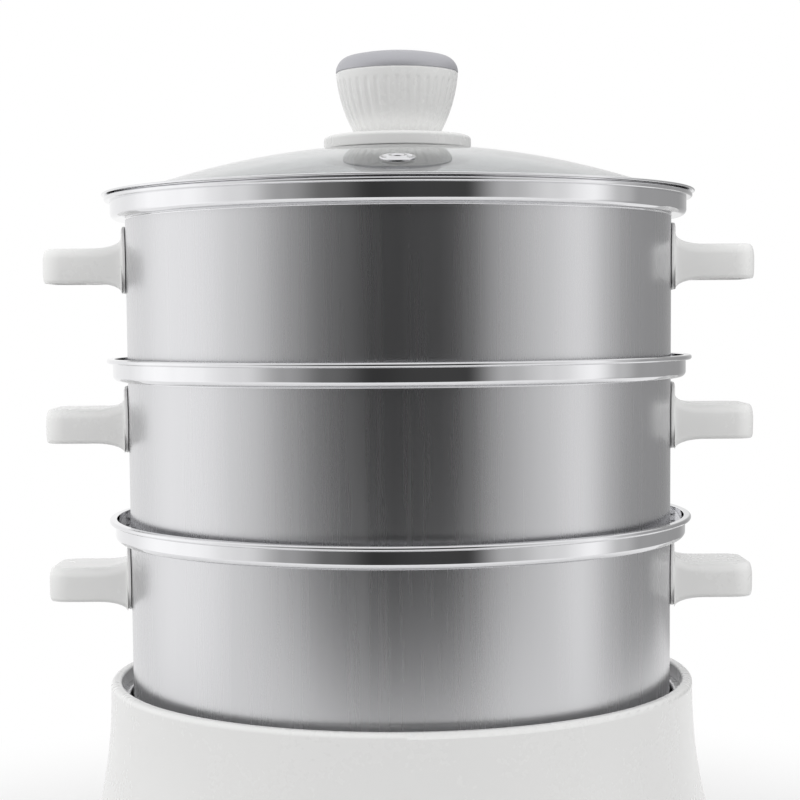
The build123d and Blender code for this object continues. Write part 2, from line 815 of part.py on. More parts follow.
def lid_knob_cap():
    """Domed satin cap pressed into the top of the knob."""
    low = top_lip_z + flange_top + knob_height
    high = low + cap_height
    edge = knob_top_radius
    corners = [(0, low), (edge, low), (edge, high - cap_crown), (0, high)]
    dome = turned(rounded_section(corners, [0, cap_foot_round, cap_shoulder, 0]))
    plug_radius = knob_top_radius - knob_wall - cap_spigot_gap
    return dome + rod(plug_radius, low - cap_spigot_depth + fit_gap, low)


# ---------------------------------------------------------------- base housing
def bell_corners():
    """Outer corners of the bell's side from its lower edge up, with bends."""
    corners = [
        (base_skirt_radius, foot_height),
        (base_skirt_radius, skirt_corner_z),
        (base_rim_radius, flare_corner_z),
        (base_rim_radius, rim_z - base_rim_outer_round),
    ]
    return corners, [base_skirt_bend, flare_bend]


def bell_filled():
    """Everything inside the housing's outer face."""
    corners, bends = bell_corners()
    closed = [(0, foot_height), *corners, (0, corners[-1][1])]
    return turned(rounded_section(closed, [0, 0, *bends, 0, 0]))


def housing_shell():
    """Bell-shaped side, thick rim and the ledge that carries the liner."""
    corners, bends = bell_corners()
    side = pressed_section(corners, bends, base_wall)
    rim = rounded_section(
        [
            (base_rim_inner, liner_ledge_z - base_ledge_thickness),
            (base_rim_radius, liner_ledge_z - base_ledge_thickness),
            (base_rim_radius, rim_z),
            (base_rim_inner, rim_z),
        ],
        [0, 0, base_rim_outer_round, base_rim_inner_round],
    )
    ledge = rounded_section(
        [
            (base_rim_inner - base_ledge_width, liner_ledge_z - base_ledge_thickness),
            (base_rim_inner + over_cut, liner_ledge_z - base_ledge_thickness),
            (base_rim_inner + over_cut, liner_ledge_z),
            (base_rim_inner - base_ledge_width, liner_ledge_z),
        ],
        [0, 0, 0, 0],
    )
    return turned(side, rim, ledge)


def base_housing():
    """White housing with the dial pad, inlet pad and screw bosses."""
    filled = bell_filled()
    shell = housing_shell()
    dial_pad = extrude(Pos(0, 0, -control_pad_root) * Circle(control_pad_radius), control_pad_root)
    dial_pad = fillet(dial_pad.edges().group_by(Axis.Z)[-1], control_pad_round)
    pad_hollow = Pos(0, 0, -control_pad_wall - control_pad_root) * Cylinder(
        control_pad_radius - control_pad_wall, 2 * control_pad_root
    )
    shell = shell + control_plane * dial_pad - control_plane * pad_hollow
    shell = shell + inlet_pad() - inlet_pad_hollow()
    boss = rod(cover_boss_radius, cover_top_z, cover_boss_top, x=cover_screw_circle_radius)
    boss = boss & filled
    pilot_top = cover_top_z + cover_screw_bite
    pilot = rod(cover_screw_radius + fit_gap, 0, pilot_top, x=cover_screw_circle_radius)
    shell += around(boss, cover_screw_count)
    shell -= around(pilot, cover_screw_count)
    shell -= control_plane * Cylinder(bushing_radius + switch_collar_gap, 4 * control_pad_root)
    shell -= lens_frame() * Cylinder(lens_radius + fit_gap, 4 * base_wall)
    return shell


def inlet_pad():
    """Flat-faced boss at the back that carries the mains inlet."""
    face = Plane(origin=(0, inlet_pad_reach, inlet_height), x_dir=(1, 0, 0), z_dir=(0, 1, 0))
    outline = face * RectangleRounded(inlet_pad_width, inlet_pad_height, inlet_pad_round)
    return extrude(outline, -inlet_pad_root)


def inlet_pad_hollow():
    """Space inside the inlet pad, and its window for the inlet's body."""
    hollow = block(
        (
            -inlet_pad_width / 2 + inlet_pad_wall,
            inlet_pad_reach - 2 * inlet_pad_root,
            inlet_height - inlet_pad_height / 2 + inlet_pad_wall,
        ),
        (
            inlet_pad_width / 2 - inlet_pad_wall,
            inlet_pad_reach - inlet_pad_wall,
            inlet_height + inlet_pad_height / 2 - inlet_pad_wall,
        ),
    )
    half_width, half_height = inlet_body_width / 2 + fit_gap, inlet_body_height / 2 + fit_gap
    window = block(
        (-half_width, inlet_pad_reach - 2 * inlet_pad_root, inlet_height - half_height),
        (half_width, inlet_pad_reach + inlet_flange, inlet_height + half_height),
    )
    return [hollow, window]


def base_cover():
    """Bottom cover with cooling slots, screw holes and holes for the feet's plugs."""
    radius = base_skirt_radius - base_wall - cover_gap
    cover = rod(radius, cover_under_z, cover_top_z)
    length = vent_slot_outer - vent_slot_inner
    slot = extrude(SlotOverall(length, vent_slot_width), 2 * cover_thickness)
    slot = Pos((vent_slot_inner + vent_slot_outer) / 2, 0, cover_under_z - cover_thickness / 2) * slot
    cover -= around(slot, vent_slot_count)
    high = cover_top_z + over_cut
    hole = rod(cover_screw_radius + fit_gap, 0, high, x=cover_screw_circle_radius)
    cover -= around(hole, cover_screw_count)
    plug = rod(foot_plug_radius + fit_gap, 0, high, x=foot_circle_radius)
    return cover - around(plug, foot_count, 180.0 / foot_count)


def cover_screws():
    """Pan-head screws that hold the bottom cover to the housing's bosses."""
    x = cover_screw_circle_radius
    head = rod(cover_screw_head_radius, cover_under_z - cover_screw_head, cover_under_z, x=x)
    tip_z = cover_top_z + cover_screw_bite - screw_tip_gap
    return around(head + rod(cover_screw_radius, cover_under_z, tip_z, x=x), cover_screw_count)


def rubber_feet():
    """Round feet, each with a plug that snaps through the bottom cover."""
    x = foot_circle_radius
    pad = rod(foot_radius, 0, cover_under_z, x=x)
    pad = fillet(pad.edges().group_by(Axis.Z)[0], foot_round)
    plug = rod(foot_plug_radius, cover_under_z, cover_top_z, x=x)
    head = rod(foot_plug_head_radius, cover_top_z, cover_top_z + foot_plug_head, x=x)
    return around(pad + plug + head, foot_count, 180.0 / foot_count)


# ---------------------------------------------------------------- well liner and heater
def well_liner():
    """Pressed steel bowl that lines the well and carries the heating plate."""
    flange_end = base_rim_inner - fit_gap
    path = [
        (0, liner_under_z),
        (liner_radius, liner_under_z),
        (liner_radius, liner_ledge_z),
        (flange_end, liner_ledge_z),
    ]
    liner = turned(pressed_section(path, [liner_corner, liner_bend], liner_sheet))
    low, high = liner_under_z - over_cut, liner_floor_z + over_cut
    liner -= rod(sensor_cap_radius + sensor_well_gap, low, high)
    liner -= [leg * rod(bush_radius + fit_gap, low, high) for leg in element_legs()]
    screw_hole = rod(plate_screw_radius + fit_gap, low, high, x=spacer_circle_radius)
    liner -= around(screw_hole, spacer_count, spacer_start)
    pilot = rod(holder_screw_radius + fit_gap, low, high, x=holder_screw_circle_radius)
    return liner - around(pilot, holder_screw_count, holder_screw_start)


def element_legs():
    """Places of the element's two cold ends, each side of the gap at the front."""
    return [
        Rot(0, 0, -90 + side * element_gap_angle / 2) * Pos(element_ring_radius, 0, 0)
        for side in (-1, 1)
    ]


def element_shape(radius, leg_radius):
    """Tubular element: an open ring with two legs that turn down."""
    centre_z = plate_under_z - element_drop
    start = Rot(0, 0, -90 + element_gap_angle / 2)
    circle = Plane.XZ * Pos(element_ring_radius, centre_z) * Circle(radius)
    ring = start * revolve(circle, Axis.Z, 360 - element_gap_angle)
    for place in element_legs():
        ring += place * (Pos(0, 0, centre_z) * Sphere(leg_radius))
        ring += place * rod(leg_radius, centre_z - element_leg, centre_z)
    return ring


def heating_plate():
    """Cast aluminium plate with a rib round the element and bosses for its screws."""
    plate = rod(plate_radius, plate_under_z, plate_top_z)
    plate = fillet(plate.edges().group_by(Axis.Z)[-1], plate_round)
    rib = rod(element_ring_radius + rib_width / 2, plate_under_z - rib_height, plate_under_z)
    rib -= rod(element_ring_radius - rib_width / 2, plate_under_z - 2 * rib_height, plate_top_z)
    plate += rib
    plate -= rod(sensor_cap_radius + sensor_well_gap, liner_under_z, plate_top_z + over_cut)
    thread_top = plate_under_z + plate_screw_bite
    screw = rod(plate_screw_radius + fit_gap, liner_under_z, thread_top, x=spacer_circle_radius)
    plate -= around(screw, spacer_count, spacer_start)
    return plate - element_shape(element_tube_radius + fit_gap, element_leg_radius + fit_gap)


def plate_spacers():
    """Steel bushes that stand the plate above the liner's floor."""
    spacer = rod(spacer_radius, liner_floor_z, plate_under_z)
    spacer -= rod(plate_screw_radius + fit_gap, liner_under_z, plate_top_z)
    return around(Pos(spacer_circle_radius, 0, 0) * spacer, spacer_count, spacer_start)


def plate_screws():
    """Screws from under the liner, through the spacers, into the plate."""
    head = rod(plate_screw_head_radius, liner_under_z - plate_screw_head, liner_under_z)
    shank = rod(plate_screw_radius, liner_under_z, plate_under_z + plate_screw_bite - fit_gap)
    return around(Pos(spacer_circle_radius, 0, 0) * (head + shank), spacer_count, spacer_start)


def element_bushes():
    """Ceramic bushes that carry the element's legs through the liner's floor."""
    bush = rod(bush_radius, liner_under_z - bush_collar, liner_floor_z)
    bush += rod(bush_flange_radius, liner_floor_z, liner_floor_z + bush_flange)
    bush -= rod(element_leg_radius + fit_gap, 0, plate_top_z)
    return [place * bush for place in element_legs()]


# ---------------------------------------------------------------- thermostat sensor
sensor_top_z = plate_top_z - sensor_contact_gap
sensor_under_z = sensor_top_z - sensor_cap_height
holder_top_z = liner_under_z
holder_floor_z = liner_under_z - holder_floor_drop
clip_top_z = holder_floor_z - holder_wall


def sensor_cap():
    """Aluminium cap that the pot presses, with its guide stem."""
    cap = rod(sensor_cap_radius, sensor_under_z, sensor_top_z)
    cap = fillet(cap.edges().group_by(Axis.Z)[-1], sensor_cap_round)
    return cap + rod(sensor_stem_radius, clip_top_z - clip_thickness - stem_tail, sensor_under_z)


def sensor_clip():
    """Ring on the stem that stops the cap from rising further."""
    ring = rod(clip_radius, clip_top_z - clip_thickness, clip_top_z)
    return ring - rod(sensor_stem_radius + fit_gap, clip_top_z - 2 * clip_thickness, holder_floor_z)


def sensor_holder():
    """Cup under the liner that guides the stem and carries the spring."""
    inner = sensor_cap_radius + holder_inner_gap
    cup = rod(inner + holder_wall, clip_top_z, holder_top_z)
    cup += rod(holder_flange_radius, holder_top_z - holder_flange, holder_top_z)
    cup -= rod(inner, holder_floor_z, holder_top_z + over_cut)
    cup -= rod(sensor_stem_radius + running_gap, 0, plate_top_z)
    hole = rod(holder_screw_radius + fit_gap, 0, plate_top_z, x=holder_screw_circle_radius)
    return cup - around(hole, holder_screw_count, holder_screw_start)


def holder_screws():
    """Screws that hold the sensor's cup to the liner."""
    flange_under = holder_top_z - holder_flange
    x = holder_screw_circle_radius
    head = rod(holder_screw_head_radius, flange_under - holder_screw_head, flange_under, x=x)
    screw = head + rod(holder_screw_radius, flange_under, liner_floor_z + holder_screw_tip, x=x)
    return around(screw, holder_screw_count, holder_screw_start)


def sensor_spring():
    """Coil spring between the cup's floor and the cap."""
    low, high = holder_floor_z + spring_wire_radius, sensor_under_z - spring_wire_radius
    coil = Helix((high - low) / spring_turns, high - low, spring_radius, center=(0, 0, low))
    section = Plane(origin=coil @ 0, z_dir=coil % 0) * Circle(spring_wire_radius)
    return sweep(section, coil)


def thermal_cutout():
    """Snap-disc cut-out with a clamping strip, flat against the liner's underside."""
    high = liner_under_z
    strip = block(
        (-cutout_flange_length / 2, -cutout_flange_width / 2, high - cutout_flange),
        (cutout_flange_length / 2, cutout_flange_width / 2, high),
    )
    can = rod(cutout_radius, high - cutout_height, high)
    cutout = can + strip + blades(2, cutout_blade_pitch, high - cutout_height)
    return Pos(cutout_place_radius, 0, 0) * Rot(0, 0, 90) * cutout


def blades(count, pitch, high):
    """Row of push-on blades along X that hang from a height."""
    middle = (count - 1) / 2
    blade = Pos(0, 0, high - blade_length / 2) * Box(blade_width, blade_thickness, blade_length)
    return [Pos((i - middle) * pitch, 0, 0) * blade for i in range(count)]


# ---------------------------------------------------------------- front control
def switch_body():
    """Rotary heat switch behind the dial pad, with its threaded bushing."""
    back = -control_pad_wall - switch_depth
    half = switch_width / 2
    box = block((-half, -half, back), (half, half, -control_pad_wall))
    box = fillet(box.edges().filter_by(Axis.Z), switch_corner)
    collar_top = dial_thickness + bushing_reach
    bushing = rod(bushing_radius, -control_pad_wall, collar_top)
    shaft_hole = rod(shaft_radius + running_gap, back + switch_floor, collar_top + over_cut)
    return control_plane * (box + bushing - shaft_hole + blades(3, switch_blade_pitch, back))


def switch_nut():
    """Hexagonal nut that clamps the switch against the dial plate."""
    low = dial_thickness
    nut = extrude(Pos(0, 0, low) * RegularPolygon(bushing_nut_radius, 6), bushing_nut)
    return control_plane * (nut - rod(bushing_radius + fit_gap, 0, low + 2 * bushing_nut))


def switch_shaft():
    """Steel shaft with a D flat that carries the knob."""
    low = -control_pad_wall - switch_depth + switch_floor + fit_gap
    high = knob_low() + knob_bore_depth - fit_gap
    shaft = rod(shaft_radius, low, high)
    flat_low = dial_thickness + bushing_reach + bushing_clear - fit_gap
    flat = block(
        (-shaft_radius, shaft_radius - shaft_flat, flat_low),
        (shaft_radius, 2 * shaft_radius, high + over_cut),
    )
    return control_plane * (shaft - flat)


def knob_low():
    """Underside of the control knob, above the dial pad's face."""
    return dial_thickness + control_knob_gap


def control_knob():
    """White fluted control knob with a skirt, bored for the shaft."""
    low = knob_low()
    high = low + control_knob_height
    grip = rod(control_knob_radius, low, high)
    flute = rod(control_flute_radius, low + control_knob_skirt, high + over_cut)
    out = control_knob_radius + control_flute_radius - control_flute_depth
    grip -= around(Pos(out, 0, 0) * flute, control_flute_count)
    skirt = rod(control_knob_skirt_radius, low, low + control_knob_skirt)
    skirt = fillet(skirt.edges().group_by(Axis.Z)[-1], control_skirt_round)
    knob = grip + skirt
    hollow_top = dial_thickness + bushing_reach + bushing_clear
    hollow = rod(bushing_nut_radius + nut_clear, low - over_cut, hollow_top)
    bore = rod(shaft_radius + fit_gap, low, low + knob_bore_depth)
    flat_side = shaft_radius - shaft_flat + fit_gap
    bore -= block((-2 * shaft_radius, flat_side, low), (2 * shaft_radius, 3 * shaft_radius, high))
    sink = rod(control_cap_radius + fit_gap, high - control_cap_sink, high + over_cut)
    return control_plane * (knob - hollow - bore - sink)


def control_knob_cap():
    """Silver-grey disc set in the knob's face, with a raised pointer."""
    low = knob_low() + control_knob_height - control_cap_sink
    high = low + control_cap_thickness
    disc = rod(control_cap_radius, low, high)
    disc = fillet(disc.edges().group_by(Axis.Z)[-1], disc_round)
    outer = control_cap_radius - pointer_margin
    bar = block(
        (-pointer_width / 2, outer - pointer_length, high),
        (pointer_width / 2, outer, high + pointer_height),
    )
    return control_plane * (disc + bar)


def dial_plate():
    """Thin round plate behind the knob that carries the dial's marks."""
    plate = rod(dial_radius, 0, dial_thickness)
    plate = fillet(plate.edges().group_by(Axis.Z)[-1], disc_round)
    hole = Cylinder(bushing_radius + switch_collar_gap, 4 * dial_thickness)
    return control_plane * (plate - hole)


def lens_frame():
    """Frame on the bell's side above the dial, its Z square to the wall."""
    lean = radians(control_lean) - lens_rise / flare_bend
    z = flare_start_z - flare_bend * sin(lean)
    return Plane(
        origin=(0, -bell_radius(z), z),
        x_dir=(1, 0, 0),
        z_dir=(0, -cos(lean), sin(lean)),
    )


def indicator_lens():
    """Small domed lens snapped into the housing above the dial."""
    head = rod(lens_flange_radius, 0, lens_flange)
    head = fillet(head.edges().group_by(Axis.Z)[-1], lens_round)
    stem = rod(lens_radius - fit_gap, -base_wall - lens_tail, lens_flange / 2)
    return lens_frame() * head - housing_shell() + lens_frame() * stem


def indicator_lamp():
    """Neon lamp behind the lens."""
    high = -base_wall - lens_tail
    return lens_frame() * rod(lamp_radius, high - lamp_length, high)


# ---------------------------------------------------------------- mains inlet and leads
def power_inlet():
    """Three-pin appliance inlet with its flange and keyed socket."""
    flange = RectangleRounded(inlet_flange_width, inlet_flange_height, inlet_flange_corner)
    flange = extrude(flange, inlet_flange)
    flange = fillet(flange.edges().group_by(Axis.Z)[-1], inlet_flange_round)
    body = Pos(0, 0, -inlet_body_depth / 2) * Box(inlet_body_width, inlet_body_height, inlet_body_depth)
    socket = RectangleRounded(inlet_socket_width, inlet_socket_height, inlet_socket_corner)
    socket_floor = inlet_flange - inlet_socket_depth
    socket = extrude(Pos(0, 0, socket_floor) * socket, inlet_socket_depth + over_cut)
    pin_hole = Box(pin_width + 2 * fit_gap, pin_height + 2 * fit_gap, 3 * inlet_body_depth)
    shell = flange + body - socket - [Pos(*place) * pin_hole for place in pin_places()]
    return inlet_front() * shell


def inlet_front():
    """Plane of the inlet pad's face, its Z facing out at the back."""
    return Plane(origin=(0, inlet_pad_reach, inlet_height), x_dir=(-1, 0, 0), z_dir=(0, 1, 0))


def pin_places():
    """Centres of the three pins on the inlet's face."""
    return [(-pin_spacing, pin_rise), (pin_spacing, pin_rise), (0, -earth_drop)]


def inlet_pins():
    """Live, neutral and earth blades."""
    low = -inlet_body_depth - pin_tail
    high = inlet_flange - inlet_socket_depth + pin_length
    pin = Pos(0, 0, (low + high) / 2) * Box(pin_width, pin_height, high - low)
    return [inlet_front() * Pos(*place) * pin for place in pin_places()]


def terminal_block():
    """Screw terminal block standing on the bottom cover."""
    low = (-terminal_width / 2, terminal_place - terminal_depth / 2, cover_top_z)
    high = (terminal_width / 2, terminal_place + terminal_depth / 2, cover_top_z + terminal_height)
    body = block(low, high)
    body = fillet(body.edges().filter_by(Axis.Z), terminal_corner)
    radius = terminal_screw_radius + fit_gap
    well = rod(radius, high[2] - terminal_well, high[2] + over_cut, y=terminal_place)
    return body - [Pos(x, 0, 0) * well for x in terminal_columns()]


def terminal_columns():
    """X places of the terminal screws."""
    half = (terminal_screw_count - 1) / 2
    return [(i - half) * terminal_screw_pitch for i in range(terminal_screw_count)]


def terminal_screws():
    """Clamp screws in the terminal block."""
    top_z = cover_top_z + terminal_height
    low, high = top_z - terminal_well, top_z - terminal_screw_sink
    screw = rod(terminal_screw_radius, low, high, y=terminal_place)
    return [Pos(x, 0, 0) * screw for x in terminal_columns()]


def lead(*points):
    """One insulated lead along straight runs and arcs."""
    path = FilletPolyline(*points, radius=lead_bend)
    section = Plane(origin=path @ 0, z_dir=path % 0) * Circle(lead_radius)
    return sweep(section, path)


def switch_lead_end(column, run):
    """Point on the line of a switch blade, a run beyond the lead's end at the blade."""
    depth = control_pad_wall + switch_depth + blade_length + lead_gap + run
    return tuple(control_plane.from_local_coords((column * switch_blade_pitch, 0, -depth)))


def supply_leads():
    """Three leads from the inlet's pins down to the back of the terminal block."""
    block_z = cover_top_z + terminal_height / 2
    back_y = terminal_place + terminal_depth / 2 + lead_gap
    pin_y = inlet_pad_reach - inlet_body_depth - pin_tail - lead_gap
    half_way = (pin_y + back_y) / 2
    live, earth, neutral = terminal_columns()
    leads = []
    for (x, rise), column in zip(pin_places(), (neutral, live, earth)):
        pin_end, over = (-x, pin_y, inlet_height + rise), (-x, half_way, inlet_height + rise)
        leads.append(lead(pin_end, over, (column, half_way, block_z), (column, back_y, block_z)))
    return leads


def heater_leads():
    """Leads from the block through the switch and the cut-out to the element, and back."""
    block_z = cover_top_z + terminal_height / 2
    front_y = terminal_place - terminal_depth / 2 - lead_gap
    fan_y = front_y - lead_fan
    live, _, neutral = terminal_columns()
    from_block = lead((live, front_y, block_z), (live, fan_y, block_z),
                      switch_lead_end(0, lead_straight), switch_lead_end(0, 0))

    blade_z = liner_under_z - cutout_height - blade_length - lead_gap
    near = (cutout_place_radius, -cutout_blade_pitch / 2)
    far = (cutout_place_radius, cutout_blade_pitch / 2)
    turn = switch_lead_end(1, lead_straight)
    beside = (cutout_place_radius, turn[1] + lead_fan, turn[2])
    to_cutout = lead(switch_lead_end(1, 0), turn, beside, (*near, turn[2]), (*near, blade_z))

    left, right = [(leg.position.X, leg.position.Y) for leg in element_legs()]
    leg_z = plate_under_z - element_drop - element_leg - lead_gap
    level_z = blade_z - lead_drop
    to_element = lead((*far, blade_z), (*far, level_z), (*left, level_z), (*left, leg_z))
    back = lead((neutral, front_y, block_z), (neutral, front_y - lead_straight, block_z),
                (right[0], fan_y, block_z), (*right, block_z), (*right, leg_z))
    return [from_block, to_cutout, to_element, back]


# ---------------------------------------------------------------- output
os.makedirs("parts", exist_ok=True)

save_vessel("pot", pot_shell(), pot_lip_z)
save_vessel("middle_tier", tier_shell(middle_lip_z), middle_lip_z)
save_vessel("top_tier", tier_shell(top_lip_z), top_lip_z)

save("lid_glass", lid_glass())
save("lid_rim", lid_rim())
save("lid_vent_eyelet", lid_eyelet())
save("lid_flange", lid_flange())
save("lid_washer", lid_washer())
save("lid_retainer", lid_retainer())
save("lid_screw", lid_screw())
save("lid_knob", lid_knob())
save("lid_knob_cap", lid_knob_cap())

save("base_housing", base_housing())
save("base_cover", base_cover())
save("cover_screws", *cover_screws())
save("rubber_feet", *rubber_feet())
save("well_liner", well_liner())
save("heating_plate", heating_plate())
save("heating_element", element_shape(element_tube_radius, element_leg_radius))
save("element_bushes", *element_bushes())
save("plate_spacers", *plate_spacers())
save("plate_screws", *plate_screws())
save("sensor_cap", sensor_cap())
save("sensor_clip", sensor_clip())
save("sensor_holder", sensor_holder())
save("holder_screws", *holder_screws())
save("sensor_spring", sensor_spring())
save("thermal_cutout", thermal_cutout())

save("switch_body", switch_body())
save("switch_nut", switch_nut())
save("switch_shaft", switch_shaft())
save("control_knob", control_knob())
save("control_knob_cap", control_knob_cap())
save("dial_plate", dial_plate())
save("indicator_lens", indicator_lens())
save("indicator_lamp", indicator_lamp())

save("power_inlet", power_inlet())
save("inlet_pins", *inlet_pins())
save("terminal_block", terminal_block())
save("terminal_screws", *terminal_screws())
save("internal_leads", *supply_leads(), *heater_leads())
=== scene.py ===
"""Electric food steamer: three steel vessels and a glass lid on a white heated base."""

import json
import logging
import math
from collections.abc import Iterable, Sequence
from dataclasses import dataclass, field
from enum import Enum, IntEnum
from functools import cached_property

import bmesh
import bpy
from mathutils import Matrix, Vector
from mathutils.geometry import delaunay_2d_cdt

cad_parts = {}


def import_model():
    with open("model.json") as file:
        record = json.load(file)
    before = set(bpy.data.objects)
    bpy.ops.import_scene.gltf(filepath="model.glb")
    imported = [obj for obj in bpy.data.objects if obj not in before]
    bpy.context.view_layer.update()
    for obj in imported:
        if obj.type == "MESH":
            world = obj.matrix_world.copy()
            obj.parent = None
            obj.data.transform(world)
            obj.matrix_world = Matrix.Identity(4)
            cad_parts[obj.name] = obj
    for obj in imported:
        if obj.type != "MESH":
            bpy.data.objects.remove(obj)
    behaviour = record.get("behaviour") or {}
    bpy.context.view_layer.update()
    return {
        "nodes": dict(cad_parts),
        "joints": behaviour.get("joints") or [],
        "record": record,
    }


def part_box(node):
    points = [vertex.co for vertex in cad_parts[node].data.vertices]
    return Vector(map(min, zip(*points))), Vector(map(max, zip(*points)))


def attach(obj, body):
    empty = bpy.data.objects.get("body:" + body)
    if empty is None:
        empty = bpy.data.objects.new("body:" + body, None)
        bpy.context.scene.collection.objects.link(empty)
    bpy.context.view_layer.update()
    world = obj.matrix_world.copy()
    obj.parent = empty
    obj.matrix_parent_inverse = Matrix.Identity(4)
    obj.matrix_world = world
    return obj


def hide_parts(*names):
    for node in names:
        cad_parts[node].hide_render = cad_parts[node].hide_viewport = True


LOG = logging.getLogger("steamer")

MM = 0.001
AROUND = 240  # points on a full turn of a lathed piece
ARC_STEP = math.radians(7.0)  # the most that one span of a bend turns
SHARP = math.radians(32.0)  # edges that turn more than this stay crisp
FLAT_WEIGHT = 80  # how strongly large faces hold their shading beside small ones
WELD = 1e-6  # points nearer than this, in metres, are one
ON_AXIS = 1e-4  # lathed points nearer to the axis than this, in millimetres, are on it
CLOUD_LOW, CLOUD_HIGH = 0.25, 0.75  # most of a texture's values lie between these
WHITE = (1.0, 1.0, 1.0, 1.0)

Point = tuple[float, float]


# ---------------------------------------------------------------- small tools


def linear(hue: str) -> tuple[float, float, float, float]:
    """Turn an sRGB colour into linear light.

    Args:
        hue: the colour as hex, such as "#E9E9E7".

    Returns:
        Its linear RGBA.
    """
    parts = [int(hue[i : i + 2], 16) / 255 for i in (1, 3, 5)]
    r, g, b = (p / 12.92 if p <= 0.04045 else ((p + 0.055) / 1.055) ** 2.4 for p in parts)
    return (r, g, b, 1.0)


def add_node(
    tree: bpy.types.NodeTree,
    kind: str,
    inputs: dict[str | int, object] | None = None,
    **settings: object,
) -> bpy.types.Node:
    """Add one shader node with its settings, values and links.

    Args:
        tree: the node tree it goes into.
        kind: the node's type name, such as "ShaderNodeBump".
        inputs: a value or an output socket for each input, by name or index.
        **settings: the node's own attributes.

    Returns:
        The new node.
    """
    node = tree.nodes.new(kind)
    for key, value in settings.items():
        setattr(node, key, value)
    for key, value in (inputs or {}).items():
        if isinstance(value, bpy.types.NodeSocket):
            tree.links.new(value, node.inputs[key])
        else:
            node.inputs[key].default_value = value
    return node


def empty_tree(owner: bpy.types.Material | bpy.types.World) -> bpy.types.NodeTree:
    """Give a material or a world an empty node tree.

    Args:
        owner: the material or the world.

    Returns:
        Its node tree.
    """
    owner.use_nodes = True
    owner.node_tree.nodes.clear()
    return owner.node_tree


def add_object(name: str, data: bpy.types.ID) -> bpy.types.Object:
    """Put a new object into the scene.

    Args:
        name: the object's name.
        data: its mesh, text or camera.

    Returns:
        The new object.
    """
    thing = bpy.data.objects.new(name, data)
    bpy.context.scene.collection.objects.link(thing)
    return thing


def evaluated_mesh(thing: bpy.types.Object) -> bpy.types.Mesh:
    """Copy an object's shape as it is after its modifiers.

    Args:
        thing: a mesh or a text in the scene.

    Returns:
        The new mesh.
    """
    bpy.context.view_layer.update()
    graph = bpy.context.evaluated_depsgraph_get()
    return bpy.data.meshes.new_from_object(thing.evaluated_get(graph))


# ---------------------------------------------------------------- finishes


class Mark(Enum):
    """The kinds of mark that making leaves on a surface."""

    CLOUD = "ShaderNodeTexNoise"
    CELL = "ShaderNodeTexVoronoi"


@dataclass(frozen=True)
class Pattern:
    """One layer of surface detail at its real size.

    Attributes:
        size: how far apart the marks lie, in millimetres.
        height: the same along the object's height; 0 takes the size.
        tone: how much lighter and darker the colour gets, as a share.
        gloss: how far the roughness swings.
        relief: how deep the marks are, in millimetres.
        mark: what the marks look like.
        detail: how many finer layers the clouds have.
    """

    size: float
    height: float = 0.0
    tone: float = 0.0
    gloss: float = 0.0
    relief: float = 0.0
    mark: Mark = Mark.CLOUD
    detail: float = 2.0

    def value(self, tree: bpy.types.NodeTree, place: bpy.types.NodeSocket) -> bpy.types.NodeSocket:
        """Add the texture.

        Args:
            tree: the material's nodes.
            place: the coordinates, in metres.

        Returns:
            The socket that gives the marks, from 0 to 1.
        """
        across = 1 / (self.size * MM)
        along = 1 / ((self.height or self.size) * MM)
        scaled = add_node(
            tree, "ShaderNodeMapping", {"Vector": place, "Scale": (across, across, along)}
        )
        inputs = {"Vector": scaled.outputs[0], "Scale": 1.0}
        if self.mark is Mark.CLOUD:
            inputs["Detail"] = self.detail
        return add_node(tree, self.mark.value, inputs).outputs[0]


